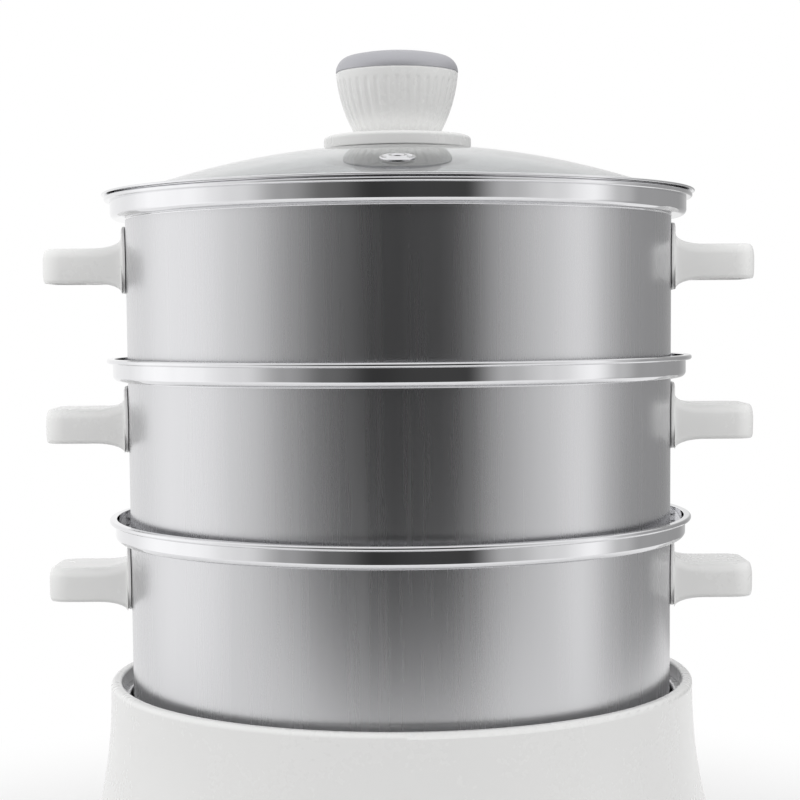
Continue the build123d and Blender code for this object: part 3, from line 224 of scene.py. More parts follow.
@dataclass(frozen=True)
class Finish:
    """A real material, how its surface was made, and what that gives the eye.

    Attributes:
        name: the material's common name and its making.
        slot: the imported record's material slot, or "" for a finish of its own.
        hue: its colour as sRGB hex.
        roughness: the middle of its roughness.
        metallic: 1 for a metal, 0 otherwise.
        ior: the index of refraction of what isn't a metal.
        transmission: the share of light that passes through.
        sheen: the weight of the soft sheen at grazing angles.
        patterns: the layers of detail.
    """

    name: str
    slot: str
    hue: str
    roughness: float
    metallic: float = 0.0
    ior: float = 1.5
    transmission: float = 0.0
    sheen: float = 0.0
    patterns: tuple[Pattern, ...] = ()

    def build(self) -> bpy.types.Material:
        """Make the node material.

        Returns:
            The new material, with its patterns.
        """
        material = bpy.data.materials.new(self.name)
        tree = empty_tree(material)
        values = {
            "Base Color": linear(self.hue),
            "Metallic": self.metallic,
            "Roughness": self.roughness,
            "Transmission Weight": self.transmission,
            "Sheen Weight": self.sheen,
        }
        if not self.metallic:
            values["IOR"] = self.ior
        shader = add_node(tree, "ShaderNodeBsdfPrincipled", values)
        add_node(tree, "ShaderNodeOutputMaterial", {"Surface": shader.outputs[0]})
        self.detail(tree, shader)
        return material

    def detail(self, tree: bpy.types.NodeTree, shader: bpy.types.Node) -> None:
        """Lay the patterns over the plain shader.

        Args:
            tree: the material's nodes.
            shader: its Principled shader.
        """
        place = add_node(tree, "ShaderNodeTexCoord").outputs["Object"]
        values = [pattern.value(tree, place) for pattern in self.patterns]
        tones = [(value, p.tone) for value, p in zip(values, self.patterns, strict=True)]
        glosses = [(value, p.gloss) for value, p in zip(values, self.patterns, strict=True)]
        tone = self.swings(tree, tones, 1.0, "MULTIPLY")
        gloss = self.swings(tree, glosses, self.roughness, "ADD")
        if tone is not None:
            hue = {0: linear(self.hue)[:3], "Scale": tone}
            colour = add_node(tree, "ShaderNodeVectorMath", hue, operation="SCALE")
            tree.links.new(colour.outputs[0], shader.inputs["Base Color"])
        if gloss is not None:
            tree.links.new(gloss, shader.inputs["Roughness"])
        for value, pattern in zip(values, self.patterns, strict=True):
            if pattern.relief:
                inputs = {"Height": value, "Distance": pattern.relief * MM}
                if shader.inputs["Normal"].links:
                    inputs["Normal"] = shader.inputs["Normal"].links[0].from_socket
                bump = add_node(tree, "ShaderNodeBump", inputs)
                tree.links.new(bump.outputs[0], shader.inputs["Normal"])

    @staticmethod
    def swings(
        tree: bpy.types.NodeTree,
        layers: Sequence[tuple[bpy.types.NodeSocket, float]],
        middle: float,
        how: str,
    ) -> bpy.types.NodeSocket | None:
        """Let a value swing with every pattern that has a swing for it.

        Args:
            tree: the material's nodes.
            layers: each pattern's texture and its swing to each side, 0 for none.
            middle: what the value swings about.
            how: "MULTIPLY" or "ADD", the way in which the swings come together.

        Returns:
            The value's socket, or nothing where no pattern has a swing.
        """
        whole = None
        for value, swing in layers:
            if not swing:
                continue
            centre = middle if whole is None or how == "MULTIPLY" else 0.0
            low, high = centre - swing, centre + swing
            ends = {"Value": value, 1: CLOUD_LOW, 2: CLOUD_HIGH, 3: low, 4: high}
            layer = add_node(tree, "ShaderNodeMapRange", ends).outputs[0]
            if whole is not None:
                both = {0: whole, 1: layer}
                layer = add_node(tree, "ShaderNodeMath", both, operation=how).outputs[0]
            whole = layer
        return whole


# Deep-drawn stainless sheet, satin polished on a belt: soft, streaky reflections.
SATIN_STEEL = Finish(
    "stainless_steel_satin_polished",
    "satin_steel",
    "#CECED0",
    0.27,
    metallic=1.0,
    patterns=(
        Pattern(3.4, height=260, tone=0.010, gloss=0.010),
        Pattern(16, height=400, tone=0.014, gloss=0.014),
        # The belt's lines are 0.1 mm apart; drawn at 0.8 mm, so that they show.
        Pattern(0.8, height=60, gloss=0.008, relief=0.0004),
    ),
)
# The same sheet buffed to a mirror on the seat band and the rolled lip.
MIRROR_STEEL = Finish(
    "stainless_steel_buffed",
    "polished_steel",
    "#E0E0E2",
    0.06,
    metallic=1.0,
    patterns=(Pattern(6, height=30, tone=0.015, gloss=0.02),),
)
# Injection-moulded gloss polypropylene: a clear highlight over a faintly wavy face.
WHITE_PLASTIC = Finish(
    "polypropylene_moulded_gloss",
    "white_plastic",
    "#F3F3F2",
    0.27,
    ior=1.49,
    patterns=(
        Pattern(34, tone=0.004, gloss=0.012),
        # Flow waves of the mould's skin, drawn a little coarser than they are.
        Pattern(3.0, relief=0.0006, gloss=0.006),
    ),
)
# Satin silver paint on a moulded cap: fine flakes under a thin lacquer.
SILVER_PAINT = Finish(
    "abs_satin_silver_paint",
    "silver_cap",
    "#B9B9BE",
    0.45,
    metallic=0.4,
    patterns=(
        # Flakes are 0.05 mm across; drawn at 0.35 mm, so that they show.
        Pattern(0.35, tone=0.03, gloss=0.03, mark=Mark.CELL),
        Pattern(12, tone=0.01, gloss=0.015),
    ),
)
# Float glass, bent and tempered: clear, with a grey cast and a smooth fire-polished face.
TEMPERED_GLASS = Finish(
    "glass_tempered",
    "tempered_glass",
    "#CDD0D1",
    0.0,
    ior=1.52,
    transmission=1.0,
    patterns=(Pattern(55, relief=0.01),),
)
# Moulded silicone rubber: milky and matt.
SILICONE = Finish(
    "silicone_moulded",
    "silicone",
    "#DDDCD8",
    0.5,
    ior=1.41,
    patterns=(Pattern(1.6, tone=0.02, gloss=0.04, relief=0.01),),
)
# Moulded black rubber: a dull face with a fine dusty grain.
RUBBER = Finish(
    "rubber_moulded",
    "black_rubber",
    "#242424",
    0.72,
    ior=1.52,
    sheen=0.15,
    patterns=(
        Pattern(0.7, relief=0.03, gloss=0.06),
        Pattern(9, tone=0.12),
    ),
)
# Cast aluminium, turned flat: dull silver with the mould's grain.
CAST_ALUMINIUM = Finish(
    "aluminium_cast",
    "cast_aluminium",
    "#CBCBCE",
    0.42,
    metallic=1.0,
    patterns=(
        Pattern(0.9, tone=0.04, gloss=0.06, relief=0.02),
        Pattern(18, tone=0.03, gloss=0.04),
    ),
)
# Bright zinc plating on pressed and turned steel: bluish, with soft spangles.
ZINC_PLATE = Finish(
    "steel_zinc_plated",
    "plated_steel",
    "#C6C8CD",
    0.33,
    metallic=1.0,
    patterns=(
        Pattern(1.8, tone=0.05, gloss=0.06, mark=Mark.CELL),
        Pattern(0.6, relief=0.004, gloss=0.02),
    ),
)
# Turned brass, left plain: warm yellow with slight tarnish in clouds.
BRASS = Finish(
    "brass_turned",
    "brass",
    "#C9A461",
    0.26,
    metallic=1.0,
    patterns=(Pattern(2.5, tone=0.06, gloss=0.05), Pattern(0.5, relief=0.003)),
)
# Pressed and fired steatite: a chalky, unglazed off-white.
STEATITE = Finish(
    "steatite_fired",
    "ceramic",
    "#EAE4D8",
    0.62,
    ior=1.57,
    patterns=(Pattern(0.8, tone=0.03, relief=0.02, gloss=0.05),),
)
# Moulded black polyamide: matt, with the spark-eroded grain of its mould.
BLACK_PLASTIC = Finish(
    "polyamide_moulded_black",
    "black_plastic",
    "#2A2A2C",
    0.46,
    ior=1.53,
    patterns=(Pattern(0.9, relief=0.02, gloss=0.05), Pattern(20, tone=0.05)),
)
# Moulded grey polyamide of a terminal block: matt and even.
GREY_PLASTIC = Finish(
    "polyamide_moulded_grey",
    "grey_plastic",
    "#B4B7BA",
    0.44,
    ior=1.53,
    patterns=(Pattern(1.1, relief=0.015, gloss=0.04, tone=0.02),),
)
# Moulded amber polycarbonate of the indicator: clear, glossy, tinted through.
TINTED_LENS = Finish(
    "polycarbonate_tinted",
    "lens",
    "#E2664A",
    0.08,
    ior=1.58,
    transmission=0.6,
    patterns=(Pattern(1.2, relief=0.02, mark=Mark.CELL),),
)
# Silicone insulation of the inner leads: off-white, soft and slightly dusty.
LEAD_SHEATH = Finish(
    "silicone_wire_insulation",
    "lead_sheath",
    "#E2E1DD",
    0.5,
    ior=1.41,
    patterns=(Pattern(2.0, tone=0.03, gloss=0.05, relief=0.01),),
)
# Pad-printed ink on the dial: dark grey and satin.
DIAL_INK = Finish(
    "ink_pad_printed",
    "",
    "#4A4B4F",
    0.4,
    patterns=(Pattern(0.5, tone=0.05, gloss=0.04),),
)

FINISHES = (
    SATIN_STEEL,
    MIRROR_STEEL,
    WHITE_PLASTIC,
    SILVER_PAINT,
    TEMPERED_GLASS,
    SILICONE,
    RUBBER,
    CAST_ALUMINIUM,
    ZINC_PLATE,
    BRASS,
    STEATITE,
    BLACK_PLASTIC,
    GREY_PLASTIC,
    TINTED_LENS,
    LEAD_SHEATH,
    DIAL_INK,
)


@dataclass
class Palette:
    """The finishes, each built once.

    Attributes:
        built: the materials made so far, by name.
    """

    built: dict[str, bpy.types.Material] = field(default_factory=dict)

    def get(self, finish: Finish) -> bpy.types.Material:
        """Find a finish's material and make it the first time.

        Args:
            finish: the finish.

        Returns:
            Its material.
        """
        if finish.name not in self.built:
            self.built[finish.name] = finish.build()
        return self.built[finish.name]

    def for_slot(self, slot: str) -> bpy.types.Material:
        """Return the material of one of the record's slots."""
        return self.get(next(f for f in FINISHES if f.slot == slot))


# ---------------------------------------------------------------- mesh tools


class Zone(IntEnum):
    """Which of a piece's materials a span of its outline takes."""

    BODY = 0
    BAND = 1


@dataclass(frozen=True)
class Corner:
    """One corner of a lathed outline, in millimetres.

    Attributes:
        r: its distance from the axis.
        z: its height.
        bend: the radius of its bend, or 0 for a crisp corner.
        zone: the material of the bend and of the span that follows.
    """

    r: float
    z: float
    bend: float = 0.0
    zone: Zone = Zone.BODY

    @property
    def at(self) -> Vector:
        """The corner as a flat vector."""
        return Vector((self.r, self.z))


Outline = list[tuple[float, float, Zone]]


def turn_between(before: Vector, after: Vector) -> float:
    """Signed angle from one heading to the next, positive to the left."""
    cross = before.x * after.y - before.y * after.x
    return math.atan2(cross, before.dot(after))


def bent(corners: Sequence[Corner], closed: bool = False) -> Outline:
    """Round the corners of an outline.

    Args:
        corners: the corners in order.
        closed: whether the last corner joins the first.

    Returns:
        Points in order, each with the zone of the span after it.
    """
    outline: Outline = []
    last = len(corners) - 1
    for i, corner in enumerate(corners):
        if corner.bend <= 0 or (not closed and i in (0, last)):
            outline.append((corner.r, corner.z, corner.zone))
            continue
        inward = (corner.at - corners[i - 1].at).normalized()
        onward = (corners[(i + 1) % len(corners)].at - corner.at).normalized()
        turn = turn_between(inward, onward)
        start = corner.at - inward * corner.bend * math.tan(abs(turn) / 2)
        side = Vector((-inward.y, inward.x)) * math.copysign(1, turn)
        centre = start + side * corner.bend
        steps = max(2, math.ceil(abs(turn) / ARC_STEP))
        for step in range(steps + 1):
            spoke = start - centre
            spoke.rotate(Matrix.Rotation(turn * step / steps, 2))
            outline.append((centre.x + spoke.x, centre.y + spoke.y, corner.zone))
    return outline


def inner_face(outer: Sequence[Corner], sheet: float) -> list[Corner]:
    """Offset an open run of corners to its left by a sheet's thickness.

    Args:
        outer: the outer face's corners.
        sheet: the thickness in millimetres.

    Returns:
        The inner face's corners, in the same order.
    """
    inner = []
    for i, corner in enumerate(outer):
        before = (corner.at - outer[max(i - 1, 0)].at).normalized()
        after = (outer[min(i + 1, len(outer) - 1)].at - corner.at).normalized()
        if i == 0:
            before = after
        if i == len(outer) - 1:
            after = before
        turn = turn_between(before, after)
        mean = (before + after).normalized()
        place = corner.at + Vector((-mean.y, mean.x)) * sheet / math.cos(turn / 2)
        bend = corner.bend - sheet if turn > 0 else corner.bend + sheet
        inner.append(Corner(place.x, place.y, max(bend, 0.0) if corner.bend else 0.0, corner.zone))
    return inner


def skin(
    name: str,
    rings: Sequence[Sequence[Vector]],
    zones: Sequence[Zone] = (),
    closed: bool = False,
) -> bpy.types.Object:
    """Skin a run of rings.

    Args:
        name: the piece's name.
        rings: rings of one length, or single points, in metres.
        zones: the material of each span between rings.
        closed: whether the last ring joins the first.

    Returns:
        The new object, with its normals outward and its shading smooth.
    """
    starts = []
    points: list[Vector] = []
    for ring in rings:
        starts.append(len(points))
        points.extend(ring)
    faces: list[list[int]] = []
    marks: list[int] = []
    spans = [(i, i + 1) for i in range(len(rings) - 1)]
    if closed:
        spans.append((len(rings) - 1, 0))
    for low, high in spans:
        count = max(len(rings[low]), len(rings[high]))
        for i in range(count):
            j = (i + 1) % count
            quad = [starts[low] + k % len(rings[low]) for k in (i, j)]
            quad += [starts[high] + k % len(rings[high]) for k in (j, i)]
            face = list(dict.fromkeys(quad))
            if len(face) > 2:
                faces.append(face)
                marks.append(int(zones[low]) if zones else 0)
    mesh = bpy.data.meshes.new(name)
    mesh.from_pydata(points, [], faces)
    mesh.polygons.foreach_set("material_index", marks)
    piece = add_object(name, mesh)
    tidy(piece)
    return piece


def tidy(piece: bpy.types.Object) -> None:
    """Weld a mesh, turn its faces outward and set its shading.

    Args:
        piece: the piece that has the mesh.
    """
    shape = bmesh.new()
    shape.from_mesh(piece.data)
    bmesh.ops.remove_doubles(shape, verts=shape.verts, dist=WELD)
    bmesh.ops.recalc_face_normals(shape, faces=shape.faces)
    shape.to_mesh(piece.data)
    shape.free()
    piece.data.shade_smooth()
    piece.data.set_sharp_from_angle(angle=SHARP)


def even_shading(piece: bpy.types.Object) -> None:
    """Let the large flat faces hold their normals beside small bends.

    Args:
        piece: the piece to shade.
    """
    modifier = piece.modifiers.new("even_shading", "WEIGHTED_NORMAL")
    modifier.keep_sharp = True
    modifier.weight = FLAT_WEIGHT


def lathe(
    name: str, outline: Outline, closed: bool = False, around: int = AROUND
) -> bpy.types.Object:
    """Turn an outline about the object's axis.

    Args:
        name: the piece's name.
        outline: points and zones, in millimetres.
        closed: whether the last point joins the first.
        around: how many points a full turn has.

    Returns:
        The new object.
    """
    rings = []
    for r, z, _ in outline:
        count = around if r > ON_AXIS else 1
        turns = (math.tau * k / around for k in range(count))
        rings.append([Vector((r * math.cos(t), r * math.sin(t), z)) * MM for t in turns])
    piece = skin(name, rings, [zone for _, _, zone in outline], closed)
    even_shading(piece)
    return piece


def prism(
    plan: Sequence[Point], low: float, high: float, shape: bmesh.types.BMesh | None = None
) -> bmesh.types.BMesh:
    """Raise a flat outline into a solid.

    Args:
        plan: its outline in x and y, in millimetres.
        low: the height of its lower face.
        high: the height of its upper face.
        shape: a mesh to add it to, or nothing for a new one.

    Returns:
        The mesh that has the solid, in metres.
    """
    if shape is None:
        shape = bmesh.new()
    ends =[[shape.verts.new(Vector((x, y, z)) * MM) for x, y in plan] for z in (low, high)]
    shape.faces.new(ends[0][::-1])
    shape.faces.new(ends[1])
    for i in range(len(plan)):
        j = (i + 1) % len(plan)
        shape.faces.new((ends[0][i], ends[0][j], ends[1][j], ends[1][i]))
    return shape


def arc(cx: float, cy: float, radius: float, start: float, end: float, steps: int) -> list[Point]:
    """Points on an arc.

    Args:
        cx: its centre's x.
        cy: its centre's y.
        radius: its radius.
        start: its first angle in degrees.
        end: its last angle in degrees.
        steps: how many spans it has.

    Returns:
        The points, both ends included.
    """
    turns = (math.radians(start + (end - start) * k / steps) for k in range(steps + 1))
    return [(cx + radius * math.cos(t), cy + radius * math.sin(t)) for t in turns]


def carve(piece: bpy.types.Object, tools: Iterable[bmesh.types.BMesh]) -> None:
    """Cut solids out of a piece and keep the result as its mesh.

    Args:
        piece: the piece to cut.
        tools: the solids, which are used up.
    """
    mesh = bpy.data.meshes.new("cutter")
    whole = bmesh.new()
    for tool in tools:
        tool.to_mesh(mesh)
        tool.free()
        whole.from_mesh(mesh)
    bmesh.ops.recalc_face_normals(whole, faces=whole.faces)
    whole.to_mesh(mesh)
    whole.free()
    cutter = add_object("cutter", mesh)
    cut = piece.modifiers.new("cut", "BOOLEAN")
    cut.object = cutter
    cut.operation = "DIFFERENCE"
    cut.solver = "EXACT"
    cut_mesh = evaluated_mesh(piece)
    piece.modifiers.clear()
    old = piece.data
    piece.data = cut_mesh
    cut_mesh.name = piece.name
    bpy.data.meshes.remove(old)
    bpy.data.objects.remove(cutter)
    bpy.data.meshes.remove(mesh)
    tidy(piece)


@dataclass
class Bench:
    """Fits each finished piece to the frame.

    Attributes:
        palette: the finishes.
    """

    palette: Palette

    def fit(
        self,
        piece: bpy.types.Object,
        body: str,
        finishes: Sequence[Finish],
        node: str = "",
    ) -> None:
        """Dress a piece and put it on its body.

        Args:
            piece: the new piece.
            body: the CAD body that it moves with.
            finishes: one finish for each zone.
            node: the CAD node that it stands for, if any.
        """
        for finish in finishes:
            piece.data.materials.append(self.palette.get(finish))
        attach(piece, body)
        if node:
            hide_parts(node)
        LOG.info("%s rides on %s", piece.name, body)


# ---------------------------------------------------------------- vessels


@dataclass
class EarHandle:
    """A moulded ear handle that flares into an oval plate on the wall.

    Sizes are in millimetres; x runs outward from the vessel's axis.

    Attributes:
        wall: radius that the plate's back follows.
        face: how far out the plate's front is.
        reach: how far out the tip is.
        half_width: half of the ear's width.
        half_height: half of the ear's thickness.
        flare: how far the flare runs along the ear.
        flare_rise: how much it adds above and below.
        flare_spread: the share of that rise that it adds to each side.
        flare_softening: the share that it adds to the lower edges' radius.
        tip_corner: the tip's corners, seen from above.
        tip_top: the tip's upper edge, seen from the front.
        tip_bottom: the tip's lower edge, seen from the front.
        top_edge: the long upper edges.
        bottom_edge: the long lower edges.
        crown: how much the long sides swell.
        plate_half_width: half of the plate's width.
        plate_half_height: half of its height.
        plate_rise: how far its middle is above the ear's.
        plate_edge: its rounded edge.
        shadow_gap: how far its back edge stands off the wall.
        pocket: where the hollow under the ear starts and ends.
        pocket_wall: the moulding beside the hollow.
        pocket_depth: how deep the hollow is.
        pocket_corner: the hollow's outer corners.
        pocket_nook: its inner corners.
        boss: radius of the screw's boss.
        boss_x: where the boss is.
        screw_way: radius of the screw's way in.
    """

    wall: float = 138.05
    face: float = 140.2
    reach: float = 179.5
    half_width: float = 23.0
    half_height: float = 8.75
    flare: float = 13.0
    flare_rise: float = 5.0
    flare_spread: float = 0.3
    flare_softening: float = 0.4
    tip_corner: float = 11.0
    tip_top: float = 3.5
    tip_bottom: float = 2.0
    top_edge: float = 5.0
    bottom_edge: float = 2.2
    crown: float = 0.9
    plate_half_width: float = 26.0
    plate_half_height: float = 16.9
    plate_rise: float = 2.9
    plate_edge: float = 0.9
    shadow_gap: float = 0.5
    pocket: tuple[float, float] = (153.5, 176.5)
    pocket_wall: float = 3.0
    pocket_depth: float = 9.0
    pocket_corner: float = 8.0
    pocket_nook: float = 2.0
    boss: float = 7.0
    boss_x: float = 153.0
    screw_way: float = 4.9

    @staticmethod
    def section(
        half_width: float,
        top: float,
        bottom: float,
        top_edge: float,
        bottom_edge: float,
        crown: float = 0.0,
    ) -> list[Point]:
        """One section across the ear.

        Args:
            half_width: half of its width.
            top: its top above the ear's middle.
            bottom: its bottom below the ear's middle.
            top_edge: radius of its upper edges.
            bottom_edge: radius of its lower edges.
            crown: how much its sides swell inside the width.

        Returns:
            Its points, always as many, in y and z.
        """
        arc_steps, side_steps = 8, 6
        # Just under half of the section, so that no two bends meet.
        limit = 0.49 * min(2 * half_width, top + bottom)
        upper, lower = min(top_edge, limit), min(bottom_edge, limit)
        quarters = ((1, top, upper), (-1, top, upper), (-1, -bottom, lower), (1, -bottom, lower))
        runs = [
            arc(side * (half_width - r), z - math.copysign(r, z), r, 90 * k, 90 * k + 90, arc_steps)
            for k, (side, z, r) in enumerate(quarters)
        ]
        whole: list[Point] = []
        for run, after in zip(runs, runs[1:] + runs[:1], strict=True):
            (y0, z0), (y1, z1) = run[-1], after[0]
            shares = (s / side_steps for s in range(1, side_steps))
            whole += run + [(y0 + (y1 - y0) * t, z0 + (z1 - z0) * t) for t in shares]
        middle, half = (top - bottom) / 2, (top + bottom) / 2
        return [(y * (1 - crown * ((z - middle) / half) ** 2 / half_width), z) for y, z in whole]

    def ear_section(self, x: float) -> list[Point]:
        """The ear's section at a distance from the axis.

        Args:
            x: the distance.

        Returns:
            The section's points.
        """

        def near_tip(full: float, bend: float) -> float:
            """Return a half size where a bend of the tip draws it in."""
            over = max(0.0, x - (self.reach - bend))
            return full - bend + math.sqrt(max(bend**2 - over**2, 0))

        share = max(0.0, (self.face + self.flare - x) / self.flare)
        rise = self.flare_rise * (1 - math.sqrt(max(1 - share**2, 0)))
        return self.section(
            near_tip(self.half_width, self.tip_corner) + rise * self.flare_spread,
            near_tip(self.half_height, self.tip_top) + rise,
            near_tip(self.half_height, self.tip_bottom) + rise,
            self.top_edge,
            self.bottom_edge + rise * self.flare_softening,
            self.crown,
        )

    def rings(self, side: int, middle: float) -> list[list[Vector]]:
        """All the rings of the handle, from its back to its tip.

        Args:
            side: 1 on the right and -1 on the left.
            middle: the height of the ear's middle.

        Returns:
            Rings of points in metres.
        """

        def placed(points: Iterable[tuple[float, float, float]]) -> list[Vector]:
            """Put points on the handle's side and height."""
            return [Vector((side * x, y, middle + z)) * MM for x, y, z in points]

        def plate(inset: float) -> list[Point]:
            """The plate's oval, drawn in.

            Args:
                inset: how far it is drawn in.

            Returns:
                Its points in y and z.
            """
            half = self.plate_half_height - inset
            oval = self.section(self.plate_half_width - inset, half, half, half, half)
            return [(y, z + self.plate_rise) for y, z in oval]

        def on_round(radius: float, y: float) -> float:
            """Return how far out a round face is, off the middle line."""
            return math.sqrt(radius**2 - y**2)

        full, rise = plate(0), self.plate_rise
        rings = [placed([(self.wall, 0, rise)])]
        for share, lift in ((0.35, 0.0), (0.7, 0.0), (0.93, 0.0), (1.0, self.shadow_gap)):
            spots = [(y * share, rise + (z - rise) * share) for y, z in full]
            rings.append(placed((on_round(self.wall + lift, y), y, z) for y, z in spots))
        for turn in (math.radians(degrees) for degrees in range(0, 91, 18)):
            front = self.face - self.plate_edge * (1 - math.sin(turn))
            inset = self.plate_edge * (1 - math.cos(turn))
            rings.append(placed((on_round(front, y), y, z) for y, z in plate(inset)))
        flare_steps, straight_steps, tip_steps = 9, 4, 14
        quarter = math.pi / 2
        turns = (quarter * k / flare_steps for k in range(flare_steps + 1))
        stations = [self.face + self.flare * (1 - math.cos(turn)) for turn in turns]
        flare_end, tip_start = stations[-1], self.reach - self.tip_corner
        shares = (k / straight_steps for k in range(1, straight_steps))
        stations += [flare_end + (tip_start - flare_end) * share for share in shares]
        turns = (quarter * k / tip_steps for k in range(tip_steps + 1))
        stations += [tip_start + self.tip_corner * math.sin(turn) for turn in turns]
        for x in stations:
            # The flare starts on the plate's round face and straightens along the ear.
            bow = max(0.0, 1 - (x - self.face) / self.flare)
            section = self.ear_section(x)
            rings.append(
                placed((x - bow * (self.face - on_round(self.face, y)), y, z) for y, z in section)
            )
        end = self.ear_section(self.reach)
        centre = sum(z for _, z in end) / len(end)
        rings.append(placed((self.reach, y / 2, (centre + z) / 2) for y, z in end))
        rings.append(placed([(self.reach, 0, centre)]))
        return rings

    def build(self, name: str, side: int, middle: float, screw_low: float) -> bpy.types.Object:
        """Make one handle.

        Args:
            name: the piece's name.
            side: 1 on the right and -1 on the left.
            middle: the height of the ear's middle.
            screw_low: the height of the screw head's underside.

        Returns:
            The new object.
        """
        piece = skin(name, self.rings(side, middle))
        near, far = self.pocket
        half = self.half_width - self.pocket_wall
        corner, nook = self.pocket_corner, self.pocket_nook
        plan = arc(far - corner, -half + corner, corner, -90, 0, 8)
        plan += arc(far - corner, half - corner, corner, 0, 90, 8)
        plan += arc(near + nook, half - nook, nook, 90, 180, 4)
        bump = math.degrees(math.acos((near - self.boss_x) / self.boss))
        plan += arc(self.boss_x, 0, self.boss, bump, -bump, 16)
        plan += arc(near + nook, -half + nook, nook, 180, 270, 4)
        way = arc(self.boss_x, 0, self.screw_way, 0, 350, 35)
        under = middle - self.half_height
        cuts = ((plan, under + self.pocket_depth), (way, screw_low))
        below = under - 1.0  # clear of the underside
        carve(piece, [prism([(side * x, y) for x, y in flat], below, top) for flat, top in cuts])
        even_shading(piece)
        return piece


@dataclass
class Vessel:
    """A pressed steel vessel with a seat band, a rolled lip and two ear handles.

    Sizes are in millimetres, and heights are from the ground.

    Attributes:
        name: its CAD body.
        perforated: whether its floor lets steam through.
        wall: the wall's outer radius.
        band: the seat band's outer radius.
        lip: the rolled lip's outer radius.
        sheet: the sheet's thickness.
        band_depth: how far the band starts below the lip's top.
        lip_depth: the rolled lip's height.
        shoulder_depth: how far a tier's shoulder is below its lip.
        ear_depth: how far the ears' middle is below the lip.
        pot_floor_bend: the bend between the pot's floor and its wall.
        hem: a tier's radius below its shoulder.
        bead: radius of the bead on the shoulder.
        bead_height: how high the bead is.
        bead_end: how far above the shoulder the plain wall starts.
        field_edge: radius where the flat floor with the holes ends.
        hole: radius of a steam hole.
        hole_rings: how many rings of holes go round the middle one.
        ring_pitch: how far apart the rings are.
        hole_points: how many points a hole's edge has.
        ear: the shape of its handles.
    """

    name: str
    perforated: bool
    wall: float = 138.0
    band: float = 145.5
    lip: float = 148.4
    sheet: float = 0.8
    band_depth: float = 11.2
    lip_depth: float = 2.4
    shoulder_depth: float = 90.9
    ear_depth: float = 34.0
    pot_floor_bend: float = 8.0
    hem: float = 136.4
    bead: float = 140.4
    bead_height: float = 4.0
    bead_end: float = 6.4
    field_edge: float = 129.0
    hole: float = 3.5
    hole_rings: int = 5
    ring_pitch: float = 24.0
    hole_points: int = 24
    ear: EarHandle = field(default_factory=EarHandle)

    @property
    def shell(self) -> str:
        """The name of the CAD node of its shell."""
        return f"{self.name}_shell"

    @cached_property
    def lip_top(self) -> float:
        """The height of its lip's top."""
        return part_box(self.shell)[1].z / MM

    @cached_property
    def floor(self) -> float:
        """The height of its underside."""
        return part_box(self.shell)[0].z / MM

    def outer_face(self) -> list[Corner]:
        """The outer face from the floor to just under the rolled lip.

        Returns:
            Its corners, a tier's from the edge of the floor's field of holes.
        """
        top, low = self.lip_top, self.floor
        seat = [
            Corner(self.wall, top - self.band_depth, 0.5, Zone.BAND),
            Corner(self.band, top - self.band_depth, 3.0, Zone.BAND),
            Corner(self.band, top - self.lip_depth, 0.0, Zone.BAND),
        ]
        if not self.perforated:
            return [Corner(0, low), Corner(self.wall, low, self.pot_floor_bend), *seat]
        shoulder = top - self.shoulder_depth
        return [
            Corner(self.field_edge, low),
            Corner(self.hem, low, 2.2),
            Corner(self.hem, shoulder, 0.5),
            Corner(self.bead, shoulder, 1.0),
            Corner(self.bead, shoulder + self.bead_height, 1.0),
            Corner(self.wall, shoulder + self.bead_end, 1.0),
            *seat,
        ]

    def outline(self) -> Outline:
        """The whole section, with the rolled lip between its two faces.

        Returns:
            Its points, from the outer face's foot round to the inner face's.
        """
        outer = self.outer_face()
        inner = inner_face(outer, self.sheet)
        top = self.lip_top
        curl = [
            Corner(self.lip, top - self.lip_depth, 1.08, Zone.BAND),
            Corner(self.lip, top, 1.08, Zone.BAND),
            Corner(self.band - self.sheet, top, 0.4, Zone.BAND),
        ]
        # On the way back, a span's zone is that of the corner it ends at.
        back = inner[-2::-1]
        zones = [Zone.BAND] + [corner.zone for corner in back[1:]]
        back = [Corner(c.r, c.z, c.bend, zone) for c, zone in zip(back, zones, strict=True)]
        return bent([*outer, *curl, *back])

    def perforated_floor(self) -> bpy.types.Object:
        """The flat floor with its rings of steam holes, six more on each ring.

        Returns:
            The floor on its own, open at its edge and in no collection.
        """
        holes = [Vector((0, 0))]
        for ring in range(1, self.hole_rings + 1):
            turns = (math.tau * k / (6 * ring) for k in range(6 * ring))
            spokes = (Vector((math.cos(t), math.sin(t))) for t in turns)
            holes += [spoke * self.ring_pitch * ring for spoke in spokes]
        loops = [(Vector((0, 0)), self.field_edge, AROUND)]
        loops += [(hole, self.hole, self.hole_points) for hole in holes]
        points: list[Vector] = []
        edges: list[tuple[int, int]] = []
        for centre, radius, count in loops:
            first = len(points)
            turns = (math.tau * k / count for k in range(count))
            points += [centre + Vector((math.cos(t), math.sin(t))) * radius for t in turns]
            edges += [(first + k, first + (k + 1) % count) for k in range(count)]
        flat, _, faces, *_ = delaunay_2d_cdt(points, edges, [], 0, WELD)
        shape = bmesh.new()
        verts = [shape.verts.new(Vector((p.x, p.y, self.floor)) * MM) for p in flat]
        for face in faces:
            middle = sum((flat[k] for k in face), Vector((0, 0))) / len(face)
            if all((middle - hole).length > self.hole for hole in holes):
                shape.faces.new([verts[k] for k in face])
        made = bmesh.ops.extrude_face_region(shape, geom=list(shape.faces))
        moved = [v for v in made["geom"] if isinstance(v, bmesh.types.BMVert)]
        bmesh.ops.translate(shape, verts=moved, vec=(0, 0, self.sheet * MM))
